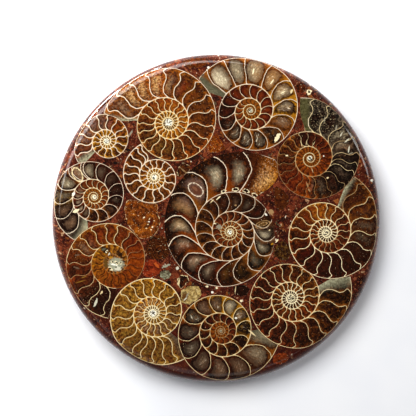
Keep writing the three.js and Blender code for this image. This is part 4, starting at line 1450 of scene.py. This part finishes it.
def stone_colour(s):
    """Red-brown conglomerate: silt, sand grains and small pebbles of several stones."""
    silt = s.noise(5, detail=6, roughness=0.72)
    colour = s.ramp(silt, SILT_TONES)
    warp = s.noise(WARP_SIZE, detail=3, output="Color")
    bent = s.add("VectorMath", {0: warp, 1: WARP, 2: s.place}, operation="MULTIPLY_ADD")
    for size, least, most, share in GRAINS:
        grain = s.node("TexVoronoi", {"Vector": bent, "Scale": 1 / size}, feature="F1")
        chance, keep, _ = s.parts(Signal(s, grain.outputs["Color"]))
        tone = s.ramp(chance, GRAIN_TONES, smooth=False)
        radius = s.step(keep, 1 - share, 1, least, most)
        within = s.step(radius - Signal(s, grain.outputs["Distance"]), 0, GRAIN_FADE)
        whole = s.step(keep, 1 - share, 1.06 - share)
        colour = s.mix(within * whole * 0.85, colour, tone)
    grit = s.noise(0.5, detail=3, roughness=0.75)
    colour = s.mix(s.step(grit, 0.6, 0.7, 0, 0.6), colour, LIGHT_GRIT)
    colour = s.mix(s.step(grit, 0.44, 0.34, 0, 0.8), colour, DARK_GRIT)
    return colour, silt, grit


def polished_stone():
    s = Surface("conglomerate_polish", {**POLISH, **STONE_SHEEN})
    colour, _, _ = stone_colour(s)
    # Painted shade: the polished stone darkens towards the lower side of the plate.
    painted_shade_height = s.y + s.noise(14) * 20
    colour = s.mix(s.step(painted_shade_height, *PAINTED_SHADE_FADE, 0, 0.6), colour, PAINTED_SHADE_LOW)
    return s.polished(s.marked(colour, STONE_MARKS))


def sawn_stone():
    """The back and the insides of the pockets, cut and left dull."""
    s = Surface("conglomerate_sawn", SAWN)
    colour, silt, grit = stone_colour(s)
    dust = s.mix(0.35, colour, DUST)
    marks = s.math("SINE", s.x * 5 + s.y * 0.7 + silt * 3)
    return s.finish(dust, marks * 0.015 + grit * 0.06)


def shell_underside():
    """The outside of a buried shell."""
    s = Surface("shell_outside", SAWN)
    colour = s.ramp(s.noise(4, detail=4), ((0.3, CHESTNUT), (0.5, TAN), (0.7, IVORY)))
    return s.finish(colour, s.noise(1.2, detail=3) * 0.1)


# ---- assembly ----

SEED_STEP = 17.3  # between two shells, so that no two are mottled alike

underside = shell_underside()
sawn = sawn_stone()
pockets = []
for number, name in enumerate(AMMONITES, start=1):
    surface = shell_surface(name, SEED_STEP * number)
    piece, pocket = ammonite_mesh(name, [surface, underside])
    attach(piece, "root")
    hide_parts(name)
    pockets.append(pocket)
for number, name in enumerate(FRAGMENTS, start=1):
    surface = fragment_surface(name, number)
    piece, pocket = fragment_mesh(name, [surface, sawn])
    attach(piece, "root")
    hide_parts(name)
    pockets.append(pocket)
stone = matrix_mesh("matrix_finish", pockets, [polished_stone(), sawn])
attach(stone, "root")
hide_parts("matrix")

# ---- studio ----

CAMERA_PLACE = (-3.4, 4.4)  # the camera hangs a little up and left of the plate's middle
CAMERA_HEIGHT = 490  # above the polished face
CAMERA_LENS = 100
CAMERA_REACH = 20  # metres
FLOOR_HALF = 3  # metres
DAYLIGHT = (0.93, 0.95, 1, 1)
HORIZON = (0.15, 0.45)  # how steep a direction is, and how bright the studio is there
CEILING = (0.75, 0.054)

camera_data = bpy.data.cameras.new("camera")
camera_data.lens = CAMERA_LENS
camera_data.clip_end = CAMERA_REACH
camera = bpy.data.objects.new("camera", camera_data)
camera.location = [value * MM for value in (*CAMERA_PLACE, PLATE_THICKNESS + CAMERA_HEIGHT)]
bpy.context.scene.collection.objects.link(camera)
bpy.context.scene.camera = camera

floor_mesh = bpy.data.meshes.new("floor")
corners = [(x * FLOOR_HALF, y * FLOOR_HALF, 0) for x, y in ((-1, -1), (1, -1), (1, 1), (-1, 1))]
floor_mesh.from_pydata(corners, [], [(0, 1, 2, 3)])
floor = bpy.data.objects.new("floor", floor_mesh)
bpy.context.scene.collection.objects.link(floor)
paper = Surface("paper", {"Roughness": 0.9, "Specular IOR Level": 0.1})
tone = paper.ramp(paper.noise(40), ((0.3, srgb("#f4f5f8")), (0.7, srgb("#fafafb"))))
floor_mesh.materials.append(paper.finish(tone))


def panel(name, azimuth, elevation, distance, width, height, power):
    """A soft light that faces the plate. Azimuth is counter-clockwise from +X; metres, watts."""
    turn, rise = math.radians(azimuth), math.radians(elevation)
    light = bpy.data.lights.new(name, "AREA")
    light.shape = "RECTANGLE"
    light.size, light.size_y = width, height
    light.energy = power
    lamp = bpy.data.objects.new(name, light)
    flat = math.cos(rise)
    place = Vector((math.cos(turn) * flat, math.sin(turn) * flat, math.sin(rise))) * distance
    lamp.location = place
    lamp.rotation_euler = (-place).to_track_quat("-Z", "Y").to_euler()
    bpy.context.scene.collection.objects.link(lamp)


panel("window", azimuth=128, elevation=56, distance=0.6, width=0.5, height=0.36, power=3.35)
panel("rim", azimuth=127, elevation=7, distance=0.5, width=0.3, height=0.1, power=4.2)
panel("side", azimuth=24, elevation=45, distance=0.9, width=0.2, height=0.35, power=1.15)
panel("low", azimuth=255, elevation=64, distance=0.9, width=0.6, height=0.4, power=0.53)

world = bpy.data.worlds.new("studio")
world.use_nodes = True
bpy.context.scene.world = world
nodes, links = world.node_tree.nodes, world.node_tree.links
background = nodes["Background"]
direction = nodes.new("ShaderNodeTexCoord")
split = nodes.new("ShaderNodeSeparateXYZ")
links.new(direction.outputs["Generated"], split.inputs[0])
fade = nodes.new("ShaderNodeMapRange")
for socket, value in zip(fade.inputs[1:5], (HORIZON[0], CEILING[0], HORIZON[1], CEILING[1])):
    socket.default_value = value
links.new(split.outputs[2], fade.inputs[0])
links.new(fade.outputs[0], background.inputs["Strength"])
background.inputs["Color"].default_value = DAYLIGHT
bpy.context.scene.view_settings.view_transform = "Standard"
bpy.context.scene.view_settings.look = "Medium High Contrast"
